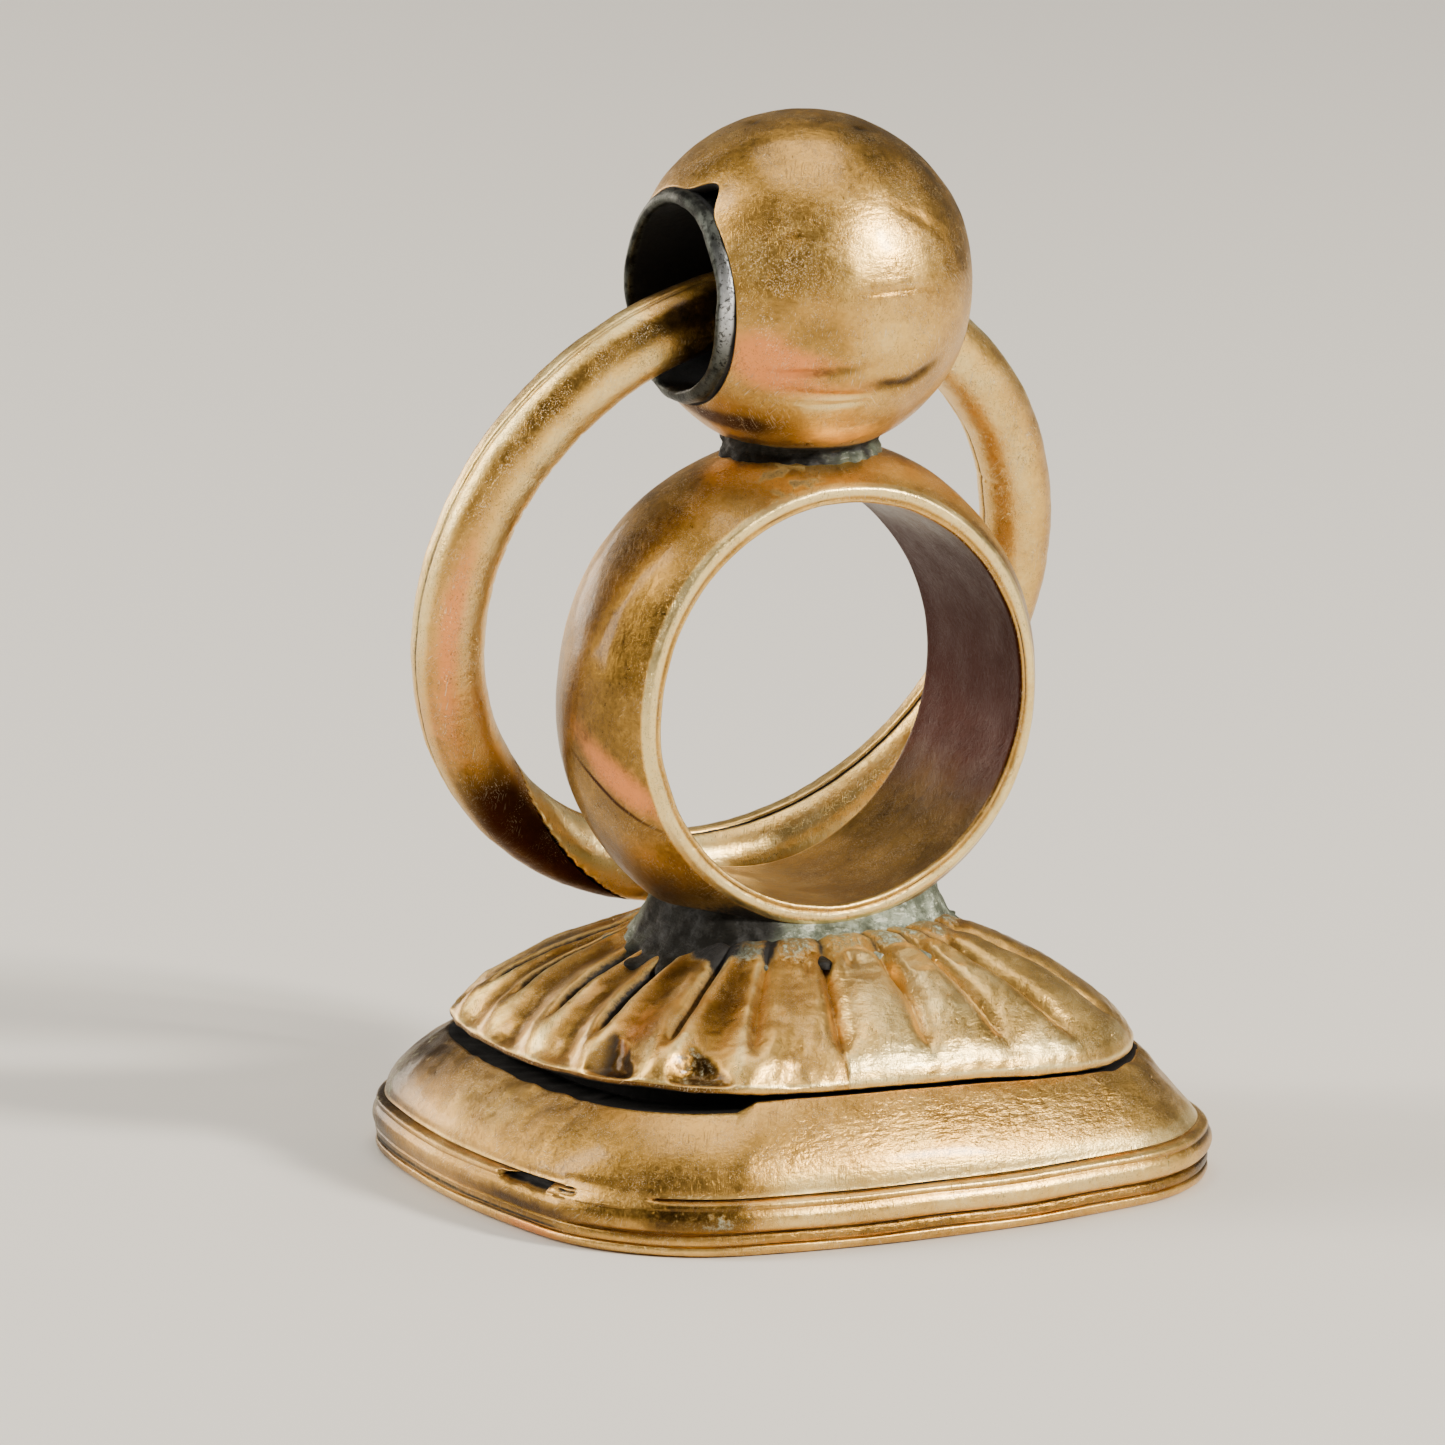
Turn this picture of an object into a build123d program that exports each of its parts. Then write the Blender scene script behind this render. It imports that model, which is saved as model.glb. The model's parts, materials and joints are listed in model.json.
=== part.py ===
"""Fob pendant in the form of a hand seal, in millimetres.

A cushion-shaped foot holds a carnelian face down. A fluted dome stands on the foot, a barrel-shaped
band stands on edge on the dome, and a small hollow ball sits on the band. A lined bore crosses the
ball from side to side, and a split ring passes through it and leans back behind the band.

The origin is the middle of the foot's underside. X runs along the foot's long side and along the
ball's bore, Y along the band's axis, and +Z is up. The ring leans towards +Y.
"""
from build123d import *
from math import cos, radians, sin, sqrt
import os

# Foot: a cushion outline with shallow curved sides and large round corners
foot_length = 20.9
foot_width = 18.7
foot_side_bulge = 1.35
foot_corner_radius = 5.2
squareness = 3.2
corner_share = 0.75
lip_height = 0.42
lip_inset = 0.12
lip_chamfer = 0.13
groove_height = 0.10
groove_depth = 0.25
bead_height = 0.98
bead_round = 0.30
step_depth = 0.34
ovolo_height = 1.87
ovolo_inset = 1.50
pocket_wall = 1.25

# Stone: a polygonal cushion with its table downwards, held by the foot's lip
stone_length = 18.6
stone_width = 16.4
stone_sides = 16
stone_recess = 0.22
stone_bevel_width = 1.20
stone_bevel_height = 0.75
stone_girdle_height = 0.85
stone_clearance = 0.05

# Dome: a thin fluted shell whose lip overhangs the seam above the foot
seam_gap = 0.33
dome_lip_thickness = 0.30
dome_lip_inset = 1.90
dome_height = 3.10
dome_wall = 0.80
dome_top_length = 7.60
dome_top_width = 5.60
dome_lip_corner = 4.25
dome_top_corner = 2.20
skirt_wall = 0.50
skirt_depth = 1.00
skirt_clearance = 0.08
flute_count = 20
flute_phase = 4.0
flute_top_radius = 0.30
flute_lip_radius = 0.80
flute_top_lift = -0.10
flute_lip_lift = 0.55
flute_start = 0.80

# Band: a barrel-shaped loop on edge, straight inside
band_bore_radius = 5.40
band_width = 5.20
band_rim_wall = 0.52
band_belly = 0.85
band_centre_height = 12.90

# Ball and the liner of its bore
ball_radius = 4.56
ball_wall = 0.45
ball_sink = 0.40
ball_hole_radius = 2.86
bore_drop = 0.15
bush_clearance = 0.03
bush_wall = 0.39
bush_proud = 0.35
bush_set_back = 0.08
bush_round = 0.12

# Solder where the band meets the dome and the ball
collar_length = 7.80
collar_width = 4.60
collar_flare = 0.60
collar_sink = 0.55
ball_neck_radius = 2.05

# Split ring: two coils of half-round wire that make a round section
ring_radius = 8.50
ring_wire_radius = 0.96
ring_rest_clearance = 0.18
ring_lean_step = 0.05
ring_shift = -0.60
ring_drop = 0.22
ring_split = 0.10
ring_step_angle = 112.0
ring_step_span = 26.0

# Shares of the bead's height and rounding
bead_sections = (
    # height, inset
    (0.00, 1.00),
    (0.20, 0.30),
    (0.50, 0.00),
    (0.80, 0.25),
    (1.00, 0.85),
)

# Shares of the ovolo's height and inset, from the step up to the seam
ovolo_sections = (
    # height, inset
    (0.00, 0.00),
    (0.30, 0.14),
    (0.62, 0.42),
    (0.86, 0.75),
    (1.00, 1.00),
)

# Shares of the dome's height and of its run from the lip in to the top
dome_sections = (
    # height, run
    (0.00, 0.00),
    (0.20, 0.09),
    (0.42, 0.28),
    (0.68, 0.58),
    (1.00, 1.00),
)


def cushion(length, width, bulge, corner):
    """A closed outline of four shallow arcs whose meeting corners are rounded."""
    half_x = length / 2
    half_y = width / 2
    corner_x = half_x - bulge
    corner_y = half_y - bulge
    with BuildSketch() as outline:
        with BuildLine():
            ThreePointArc((-corner_x, -corner_y), (0, -half_y), (corner_x, -corner_y))
            ThreePointArc((corner_x, -corner_y), (half_x, 0), (corner_x, corner_y))
            ThreePointArc((corner_x, corner_y), (0, half_y), (-corner_x, corner_y))
            ThreePointArc((-corner_x, corner_y), (-half_x, 0), (-corner_x, -corner_y))
        make_face()
        fillet(outline.vertices(), corner)
    return outline.sketch


def foot_outline(inset):
    """The foot's cushion, moved inwards by the same inset all round."""
    return cushion(
        foot_length - 2 * inset,
        foot_width - 2 * inset,
        foot_side_bulge * (1 - 2 * inset / foot_length),
        foot_corner_radius - corner_share * inset,
    )


def dome_outline(run, inset=0.0):
    """A section of the dome, run from 0 at the lip to 1 at the flat top."""
    lip_x = foot_length - 2 * dome_lip_inset
    lip_y = foot_width - 2 * dome_lip_inset
    length = lip_x + run * (dome_top_length - lip_x) - 2 * inset
    width = lip_y + run * (dome_top_width - lip_y) - 2 * inset
    corner = dome_lip_corner + run * (dome_top_corner - dome_lip_corner) - corner_share * inset
    return cushion(length, width, foot_side_bulge * width / foot_width, corner)


def oval_point(half_x, half_y, turn):
    """The point of a squarish oval that lies in the direction of an angle."""
    along_x = (abs(cos(turn)) / half_x) ** squareness
    along_y = (abs(sin(turn)) / half_y) ** squareness
    reach = (along_x + along_y) ** (-1 / squareness)
    return reach * cos(turn), reach * sin(turn)


def stone_outline(inset):
    """A polygon whose corners lie on a squarish oval."""
    turns = [radians(360 / stone_sides * (number + 0.5)) for number in range(stone_sides)]
    corners = [oval_point(stone_length / 2 - inset, stone_width / 2 - inset, turn) for turn in turns]
    with BuildSketch() as outline:
        with BuildLine():
            Polyline(corners, close=True)
        make_face()
    return outline.sketch


# Heights that follow from the sizes above
bead_base = lip_height + groove_height
step_height = bead_base + bead_height
foot_height = step_height + ovolo_height
stone_back = stone_recess + stone_bevel_height + stone_girdle_height
dome_base = foot_height + seam_gap
dome_rise_base = dome_base + dome_lip_thickness
dome_top = dome_base + dome_height
band_outer_radius = band_bore_radius + band_rim_wall + band_belly
ball_height = band_centre_height + band_outer_radius + ball_radius - ball_sink
bore_height = ball_height - bore_drop
ring_hinge_height = bore_height - ring_drop
bush_outer_radius = ball_hole_radius - bush_clearance
hole_edge = sqrt(ball_radius**2 - ball_hole_radius**2)
bush_length = 2 * hole_edge + bush_proud - bush_set_back
pocket_inset = step_depth + ovolo_inset + pocket_wall
skirt_inset = pocket_inset + skirt_clearance


def lowest_wire(lean):
    """Middle of the ring's lowest stretch of wire when the ring leans back by an angle."""
    reach = 2 * ring_radius
    return Vector(0, reach * sin(radians(lean)), ring_hinge_height - reach * cos(radians(lean)))


# The ring hangs back as steeply as the dome's slope and the back of the band let it
slope_run = (foot_width - dome_top_width) / 2 - dome_lip_inset
slope_points = [
    (0, dome_top_width / 2 + (1 - run) * slope_run, dome_rise_base + height * (dome_top - dome_rise_base))
    for height, run in dome_sections
]
dome_slope = Spline(slope_points)
band_back = Line((0, band_width / 2, dome_top), (0, band_width / 2, ring_hinge_height))
ring_lean = 90.0
while ring_lean > 0:
    wire_middle = lowest_wire(ring_lean)
    room = min(dome_slope.distance_to(wire_middle), band_back.distance_to(wire_middle))
    if room <= ring_wire_radius + ring_rest_clearance:
        break
    ring_lean -= ring_lean_step

# Stone: table, a ring of bevel facets, and a straight girdle
with BuildPart() as stone:
    with BuildSketch(Plane.XY.offset(stone_recess)):
        add(stone_outline(stone_bevel_width))
    with BuildSketch(Plane.XY.offset(stone_recess + stone_bevel_height)):
        add(stone_outline(0))
    loft(ruled=True)
    with BuildSketch(Plane.XY.offset(stone_recess + stone_bevel_height)):
        add(stone_outline(0))
    extrude(amount=stone_girdle_height)

# Foot: lip, groove, bead and ovolo, hollow above the stone
with BuildPart() as base_frame:
    with BuildSketch():
        add(foot_outline(lip_inset))
    extrude(amount=lip_height)
    chamfer(base_frame.edges().group_by(Axis.Z)[0], length=lip_chamfer)
    with BuildSketch():
        add(foot_outline(lip_inset + groove_depth))
    extrude(amount=step_height)
    for height_share, inset_share in bead_sections:
        with BuildSketch(Plane.XY.offset(bead_base + height_share * bead_height)):
            add(foot_outline(inset_share * bead_round))
    loft()
    for height_share, inset_share in ovolo_sections:
        with BuildSketch(Plane.XY.offset(step_height + height_share * ovolo_height)):
            add(foot_outline(step_depth + inset_share * ovolo_inset))
    loft()
    # Seat of the stone, with a lip that follows its bevel
    lip_mouth = stone_bevel_width * (stone_recess + stone_bevel_height) / stone_bevel_height
    with BuildSketch():
        add(stone_outline(lip_mouth - stone_clearance))
    with BuildSketch(Plane.XY.offset(stone_recess + stone_bevel_height)):
        add(stone_outline(-stone_clearance))
    loft(ruled=True, mode=Mode.SUBTRACT)
    with BuildSketch(Plane.XY.offset(stone_recess + stone_bevel_height)):
        add(stone_outline(-stone_clearance))
    extrude(amount=stone_girdle_height + stone_clearance, mode=Mode.SUBTRACT)
    # Pocket that takes the dome's skirt
    with BuildSketch(Plane.XY.offset(stone_back)):
        add(foot_outline(pocket_inset))
    extrude(amount=foot_height, mode=Mode.SUBTRACT)

# Dome, band and ball are soldered into one piece
with BuildPart() as seal_top:
    with BuildSketch(Plane.XY.offset(dome_base)):
        add(dome_outline(0))
    extrude(amount=dome_lip_thickness)
    rise = dome_top - dome_rise_base
    for height_share, run_share in dome_sections:
        with BuildSketch(Plane.XY.offset(dome_rise_base + height_share * rise)):
            add(dome_outline(run_share))
    loft()
    # Flutes radiate from the top to the lip
    for number in range(flute_count):
        turn = radians(360 / flute_count * number + flute_phase)
        top_x, top_y = oval_point(dome_top_length / 2 + flute_start, dome_top_width / 2 + flute_start, turn)
        lip_x, lip_y = oval_point(foot_length / 2 - dome_lip_inset, foot_width / 2 - dome_lip_inset, turn)
        start = Vector(top_x, top_y, dome_top + flute_top_lift)
        end = Vector(lip_x, lip_y, dome_rise_base + flute_lip_lift)
        run = end - start
        with Locations(Plane(origin=start, z_dir=run)):
            Cone(
                bottom_radius=flute_top_radius,
                top_radius=flute_lip_radius,
                height=run.length + flute_lip_radius,
                align=(Align.CENTER, Align.CENTER, Align.MIN),
                mode=Mode.SUBTRACT,
            )
    # Hollow of the dome, then the skirt that stands in the foot's pocket
    hollow_rise = dome_height - dome_wall
    lip_overhang = skirt_inset + skirt_wall - dome_lip_inset
    for height_share, run_share in dome_sections:
        hollow_inset = lip_overhang + run_share * (dome_wall - lip_overhang)
        with BuildSketch(Plane.XY.offset(dome_base + height_share * hollow_rise)):
            add(dome_outline(run_share, hollow_inset))
    loft(mode=Mode.SUBTRACT)
    with BuildSketch(Plane.XY.offset(dome_base - skirt_depth)):
        add(foot_outline(skirt_inset))
        add(foot_outline(skirt_inset + skirt_wall), mode=Mode.SUBTRACT)
    extrude(amount=skirt_depth + dome_lip_thickness)
    # Solder collar under the band
    with BuildSketch(Plane.XY.offset(dome_top - collar_sink)):
        Ellipse(collar_length / 2 + collar_flare, collar_width / 2 + collar_flare)
    with BuildSketch(Plane.XY.offset(band_centre_height - band_bore_radius)):
        Ellipse(collar_length / 2, collar_width / 2)
    loft()
    # Solder neck between the band and the ball
    with BuildSketch(Plane.XY.offset(band_centre_height + band_bore_radius)):
        Circle(ball_neck_radius)
    extrude(amount=ball_height - ball_radius / 2 - band_centre_height - band_bore_radius)
    # Band: a straight bore inside a barrel
    rim_radius = band_bore_radius + band_rim_wall
    half_width = band_width / 2
    with BuildSketch(Plane.XY.offset(band_centre_height)):
        with BuildLine():
            Line((band_bore_radius, -half_width), (rim_radius, -half_width))
            ThreePointArc((rim_radius, -half_width), (band_outer_radius, 0), (rim_radius, half_width))
            Line((rim_radius, half_width), (band_bore_radius, half_width))
            Line((band_bore_radius, half_width), (band_bore_radius, -half_width))
        make_face()
    revolve(axis=Axis((0, 0, band_centre_height), (0, 1, 0)))
    with Locations(Plane(origin=(0, 0, band_centre_height), z_dir=(0, 1, 0))):
        Cylinder(radius=band_bore_radius, height=2 * band_width, mode=Mode.SUBTRACT)
    # Ball: a hollow skin with a hole at each end of the bore
    with Locations((0, 0, ball_height)):
        Sphere(radius=ball_radius)
        Sphere(radius=ball_radius - ball_wall, mode=Mode.SUBTRACT)
    with Locations(Plane(origin=(0, 0, bore_height), z_dir=(1, 0, 0))):
        Cylinder(radius=ball_hole_radius, height=3 * ball_radius, mode=Mode.SUBTRACT)

# Liner of the ball's bore, a tube with softened ends that stands proud at one end
with BuildPart() as bush:
    with BuildSketch(Plane(origin=(-hole_edge - bush_proud, 0, bore_height), z_dir=(1, 0, 0))):
        Circle(bush_outer_radius)
        Circle(bush_outer_radius - bush_wall, mode=Mode.SUBTRACT)
    extrude(amount=bush_length)
    fillet(bush.edges().filter_by(GeomType.CIRCLE), radius=bush_round)

# Split ring: a round wire ring whose plane leans back about a line through the bore
ring_plane = Plane(
    origin=(ring_shift, 0, ring_hinge_height),
    x_dir=(1, 0, 0),
    z_dir=(0, cos(radians(ring_lean)), sin(radians(ring_lean))),
)
ring_centre = ring_plane.origin + ring_plane.y_dir * ring_radius
coil_plane = Plane(origin=ring_centre, x_dir=ring_plane.x_dir, z_dir=ring_plane.z_dir)
with BuildPart() as split_ring:
    with BuildSketch(Plane(origin=ring_plane.origin, x_dir=ring_plane.y_dir, z_dir=ring_plane.x_dir)):
        Circle(ring_wire_radius)
    revolve(axis=Axis(ring_centre, ring_plane.z_dir))
    # The gap between the coils stops where the wire steps from one coil to the other
    with BuildSketch(coil_plane):
        with BuildLine():
            first = ring_step_angle + ring_step_span
            sweep_angle = 360 - ring_step_span
            wide = CenterArc((0, 0), ring_radius + 2 * ring_wire_radius, first, sweep_angle)
            narrow = CenterArc((0, 0), ring_radius - 2 * ring_wire_radius, first, sweep_angle)
            Line(wide @ 0, narrow @ 0)
            Line(wide @ 1, narrow @ 1)
        make_face()
    extrude(amount=ring_split / 2, both=True, mode=Mode.SUBTRACT)
    # Each coil ends in a narrow gap at one end of the step
    for end_angle, side in ((ring_step_angle, -1), (ring_step_angle + ring_step_span, 1)):
        with BuildSketch(coil_plane):
            with Locations(Rotation(0, 0, end_angle) * Location((ring_radius, 0))):
                Rectangle(4 * ring_wire_radius, 2 * ring_split)
        extrude(amount=side * 2 * ring_wire_radius, mode=Mode.SUBTRACT)

finished = {
    "stone": stone,
    "base_frame": base_frame,
    "seal_top": seal_top,
    "bush": bush,
    "split_ring": split_ring,
}
os.makedirs("parts", exist_ok=True)
for name, piece in finished.items():
    piece.part.label = name
    export_step(piece.part, f"parts/{name}.step")
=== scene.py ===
# %% [markdown]
# # A worn gold fob seal
#
# The object is a small hand seal that once hung from a watch chain. A cushion-shaped foot holds a
# carnelian face down. On the foot stands a fluted dome, on the dome a band on edge, and on the band a
# hollow ball. A split ring passes through the ball's lined bore and leans back behind the band.
#
# The pieces come packed as plain solids at their real size. They are the frame: nothing here moves or
# resizes them. Each cell below makes the finished skin of one piece over its solid.

# %% Load the frame
import json
import math

import bmesh
import bpy
import numpy as np
from mathutils import Matrix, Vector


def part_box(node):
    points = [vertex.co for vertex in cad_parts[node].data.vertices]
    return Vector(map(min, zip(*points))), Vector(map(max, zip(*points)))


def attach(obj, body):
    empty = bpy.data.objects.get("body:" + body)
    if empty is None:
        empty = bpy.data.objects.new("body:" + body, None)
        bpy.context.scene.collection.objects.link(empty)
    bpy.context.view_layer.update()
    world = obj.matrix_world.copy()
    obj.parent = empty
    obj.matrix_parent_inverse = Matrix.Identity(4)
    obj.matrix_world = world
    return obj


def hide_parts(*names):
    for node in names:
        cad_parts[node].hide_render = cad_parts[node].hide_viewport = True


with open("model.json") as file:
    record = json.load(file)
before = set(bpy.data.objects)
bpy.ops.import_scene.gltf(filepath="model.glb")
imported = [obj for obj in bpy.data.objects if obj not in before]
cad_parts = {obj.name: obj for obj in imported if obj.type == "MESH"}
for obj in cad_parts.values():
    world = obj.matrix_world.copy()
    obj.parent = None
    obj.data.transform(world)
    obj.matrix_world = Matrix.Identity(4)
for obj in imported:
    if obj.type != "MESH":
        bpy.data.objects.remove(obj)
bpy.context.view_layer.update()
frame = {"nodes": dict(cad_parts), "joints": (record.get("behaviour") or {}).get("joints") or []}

# %% [markdown]
# All shapes are worked out in millimetres, because the piece is only 28 mm high, and are made metres
# when they go into a mesh. The places that matter are read from the frame, so that the skins stay on
# their solids: the foot's half lengths, the dome's lip, the ball's top, the bore and the ring's hinge.

# %% Sizes
MM = 0.001


def box_mm(node):
    """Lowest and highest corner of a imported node, in millimetres."""
    low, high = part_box(node)
    return np.array(low) / MM, np.array(high) / MM


foot_half_x, foot_half_y, foot_top = box_mm("base_frame")[1]
lip_half_x, lip_half_y, ball_top = box_mm("seal_top")[1]
liner_low, liner_high = box_mm("bush")
liner_radius = (liner_high[2] - liner_low[2]) / 2
bore_height = (liner_high[2] + liner_low[2]) / 2
hinge = np.array(frame["joints"][0]["pos_m"]) / MM

ball_radius = 4.56
ball_height = ball_top - ball_radius
ball_hole_radius = 2.86
band_height = 12.90
rim_radius = 5.92
belly_radius = 6.77
band_half = 2.60
print("half lengths of the foot", round(foot_half_x, 2), round(foot_half_y, 2), "mm")
print("half lengths of the lip", round(lip_half_x, 2), round(lip_half_y, 2), "mm")
print("bore height", round(bore_height, 2), "mm, hinge at", hinge)

# %% [markdown]
# A few small helpers place every mark on the metal. `ease` is a soft step, `between` is a soft window,
# `spot` is a bell, and `toward` is a bell round the circle. `lumps` is a smooth random relief: it adds up
# sine waves in seeded random directions, so it works on whole arrays and gives the same relief each run.

# %% Soft steps and random relief


def ease(value, low, high):
    """0 below low, 1 above high, and 3t^2 - 2t^3 on the way, where t runs from 0 to 1."""
    t = np.clip((value - low) / (high - low), 0, 1)
    return t * t * (3 - 2 * t)


def between(value, low, high, soft):
    """1 between low and high, 0 outside, over edges that are soft wide."""
    return ease(value, low - soft / 2, low + soft / 2) * (1 - ease(value, high - soft / 2, high + soft / 2))


def spot(value, middle, spread):
    """A bell: exp(-d^2 / 2), where d is the distance from the middle in spreads."""
    return np.exp(-0.5 * ((value - middle) / spread) ** 2)


def off(turn, middle):
    """Difference of two directions in degrees, from -180 to 180."""
    return (turn - middle + 180) % 360 - 180


def toward(degrees, middle, spread):
    """A bell round the circle: 1 in the direction middle, fading over a spread in degrees."""
    return spot(off(degrees, middle), 0, spread)


def lumps(points, size, seed, waves=14):
    """Smooth random relief with mean 0 and spread 1: sine waves about size long, in random directions."""
    draw = np.random.default_rng(seed)
    relief = np.zeros(points.shape[:-1])
    for _ in range(waves):
        way = draw.normal(size=3)
        way *= 2 * np.pi * draw.uniform(0.6, 1.5) / size / np.linalg.norm(way)
        relief += np.sin(points @ way + draw.uniform(0, 2 * np.pi))
    return relief * math.sqrt(2 / waves)


print("ease at the middle of a step:", ease(0.5, 0, 1))

# %% [markdown]
# Every metal piece is a wall with a closed section. The section is first drawn as a few corners, and
# then rounded the way a file and long wear round it: its sides are divided finely and blurred along
# their length. Rows are then taken from it, close together where it bends and far apart where nobody
# looks. Further columns of the table, such as how much a row matters, are carried along.

# %% Rounded sections


def rounded(corners, softness, spacing=0.01):
    """A closed section through the corners, blurred along its length by a bell of that spread."""
    closed = np.vstack([corners, corners[:1]]).astype(float)
    length = np.r_[0, np.cumsum(np.hypot(*np.diff(closed[:, :2], axis=0).T))]
    even = np.arange(0, length[-1], spacing)
    fine = np.column_stack([np.interp(even, length, column) for column in closed.T])
    reach = int(4 * softness / spacing) + 1
    window = spot(np.arange(-reach, reach + 1) * spacing, 0, softness)
    wrapped = np.concatenate([fine[-reach:], fine, fine[:reach]])
    return np.column_stack([np.convolve(column, window / window.sum(), "valid") for column in wrapped.T])


def rows_of(section, count, bend=0.12):
    """count rows of a section, evenly spaced by care x (length + bend x angle turned).

    Care is the section's last column."""
    step = np.roll(section, -1, 0) - section
    heading = np.arctan2(step[:, 1], step[:, 0])
    turned = np.abs((np.roll(heading, -1) - heading + np.pi) % (2 * np.pi) - np.pi)
    measure = np.r_[0, np.cumsum(section[:, -1] * (np.hypot(step[:, 0], step[:, 1]) + bend * turned))]
    closed = np.vstack([section, section[:1]])
    wanted = np.linspace(0, measure[-1], count, endpoint=False)
    return np.column_stack([np.interp(wanted, measure, column) for column in closed.T])


def circle(count):
    """The directions of a grid's columns, in radians for the shapes and in degrees for the charts."""
    turn = np.linspace(-np.pi, np.pi, count, endpoint=False)
    return turn, np.degrees(turn)[None, :]


square = np.array([(0, 0, 1), (1, 0, 1), (1, 1, 1), (0, 1, 1)])
print("rows of a rounded square:", rows_of(rounded(square, softness=0.05), 8).shape)

# %% [markdown]
# A grid of points becomes a mesh in one go. Neighbours in the grid are joined by four-sided faces, and
# the grid closes on itself. The sum of the faces' signed volumes says whether they point outwards, and
# if not they are turned over. Marks such as dirt are stored as one number per vertex, for the material.

# %% Mesh from a grid


def surface_normals(points):
    """Unit normals of a closed grid: the cross product of its two directions."""
    down = np.roll(points, -1, 0) - np.roll(points, 1, 0)
    across = np.roll(points, -1, 1) - np.roll(points, 1, 1)
    normal = np.cross(down, across)
    return normal / np.maximum(np.linalg.norm(normal, axis=-1, keepdims=True), 1e-12)


def signed_volume(points, quads):
    """Six times the volume inside the faces: p0 . (p1 x p2 + p2 x p3), added up."""
    a, b, c, d = (points.reshape(-1, 3)[quads[:, side]] for side in range(4))
    return np.einsum("ij,ij->", a, np.cross(b, c) + np.cross(c, d))


def add_piece(name, points, material, body, stands_for, marks, closed_rows=True):
    """Makes the mesh of a rows x columns x 3 grid in mm, hangs it under its body's empty, and hides the
    imported part it stands for.
    """
    index = np.arange(points.shape[0] * points.shape[1]).reshape(points.shape[:2])
    lower = index if closed_rows else index[:-1]
    upper = np.roll(index, -1, 0) if closed_rows else index[1:]
    quads = np.stack([lower, np.roll(lower, -1, 1), np.roll(upper, -1, 1), upper], -1).reshape(-1, 4)
    if signed_volume(points, quads) < 0:
        quads = quads[:, ::-1]
    mesh = bpy.data.meshes.new(name)
    mesh.vertices.add(index.size)
    mesh.vertices.foreach_set("co", (points * MM).ravel())
    mesh.loops.add(quads.size)
    mesh.loops.foreach_set("vertex_index", np.ascontiguousarray(quads).ravel())
    mesh.polygons.add(len(quads))
    mesh.polygons.foreach_set("loop_start", np.arange(0, quads.size, 4))
    mesh.update(calc_edges=True)
    mesh.polygons.foreach_set("use_smooth", np.ones(len(quads), bool))
    for mark, amount in marks.items():
        layer = mesh.attributes.new(mark, "FLOAT", "POINT")
        full = np.broadcast_to(amount, index.shape)
        layer.data.foreach_set("value", np.clip(full, 0, 1).astype(np.float32).ravel())
    if not closed_rows:
        work = bmesh.new()
        work.from_mesh(mesh)
        bmesh.ops.remove_doubles(work, verts=work.verts, dist=1e-7)
        work.to_mesh(mesh)
        work.free()
    mesh.materials.append(material)
    piece = bpy.data.objects.new(name, mesh)
    bpy.context.scene.collection.objects.link(piece)
    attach(piece, body)
    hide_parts(stands_for)
    print(f"{name}: {len(mesh.polygons)} faces")


cube = np.array([(x, y, z) for z in (0, 1) for y in (0, 1) for x in (0, 1)])
cube_sides = np.array([(0, 2, 3, 1), (4, 5, 7, 6), (0, 1, 5, 4), (2, 6, 7, 3), (0, 4, 6, 2), (1, 3, 7, 5)])
print("a cube with its faces outwards has volume", signed_volume(cube, cube_sides) / 6)

# %% [markdown]
# Shader maths reads better as arithmetic. `Wire` wraps one output socket, and its operators add Math
# nodes. `Finish` is a material in the making: its one method `node` makes any other node from its
# type, its settings and its sockets. Colours go through `mix`.

# %% Shader arithmetic


class Wire:
    """An output socket that can be used in sums."""

    def __init__(self, finish, socket):
        self.finish = finish
        self.socket = socket

    def maths(self, operation, first, second):
        return self.finish.node("Math", {0: first, 1: second}, operation=operation)

    def __add__(self, other):
        return self.maths("ADD", self, other)

    def __radd__(self, other):
        return self.maths("ADD", other, self)

    def __sub__(self, other):
        return self.maths("SUBTRACT", self, other)

    def __rsub__(self, other):
        return self.maths("SUBTRACT", other, self)

    def __mul__(self, other):
        return self.maths("MULTIPLY", self, other)

    def most(self, other):
        return self.maths("MAXIMUM", self, other)


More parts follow.
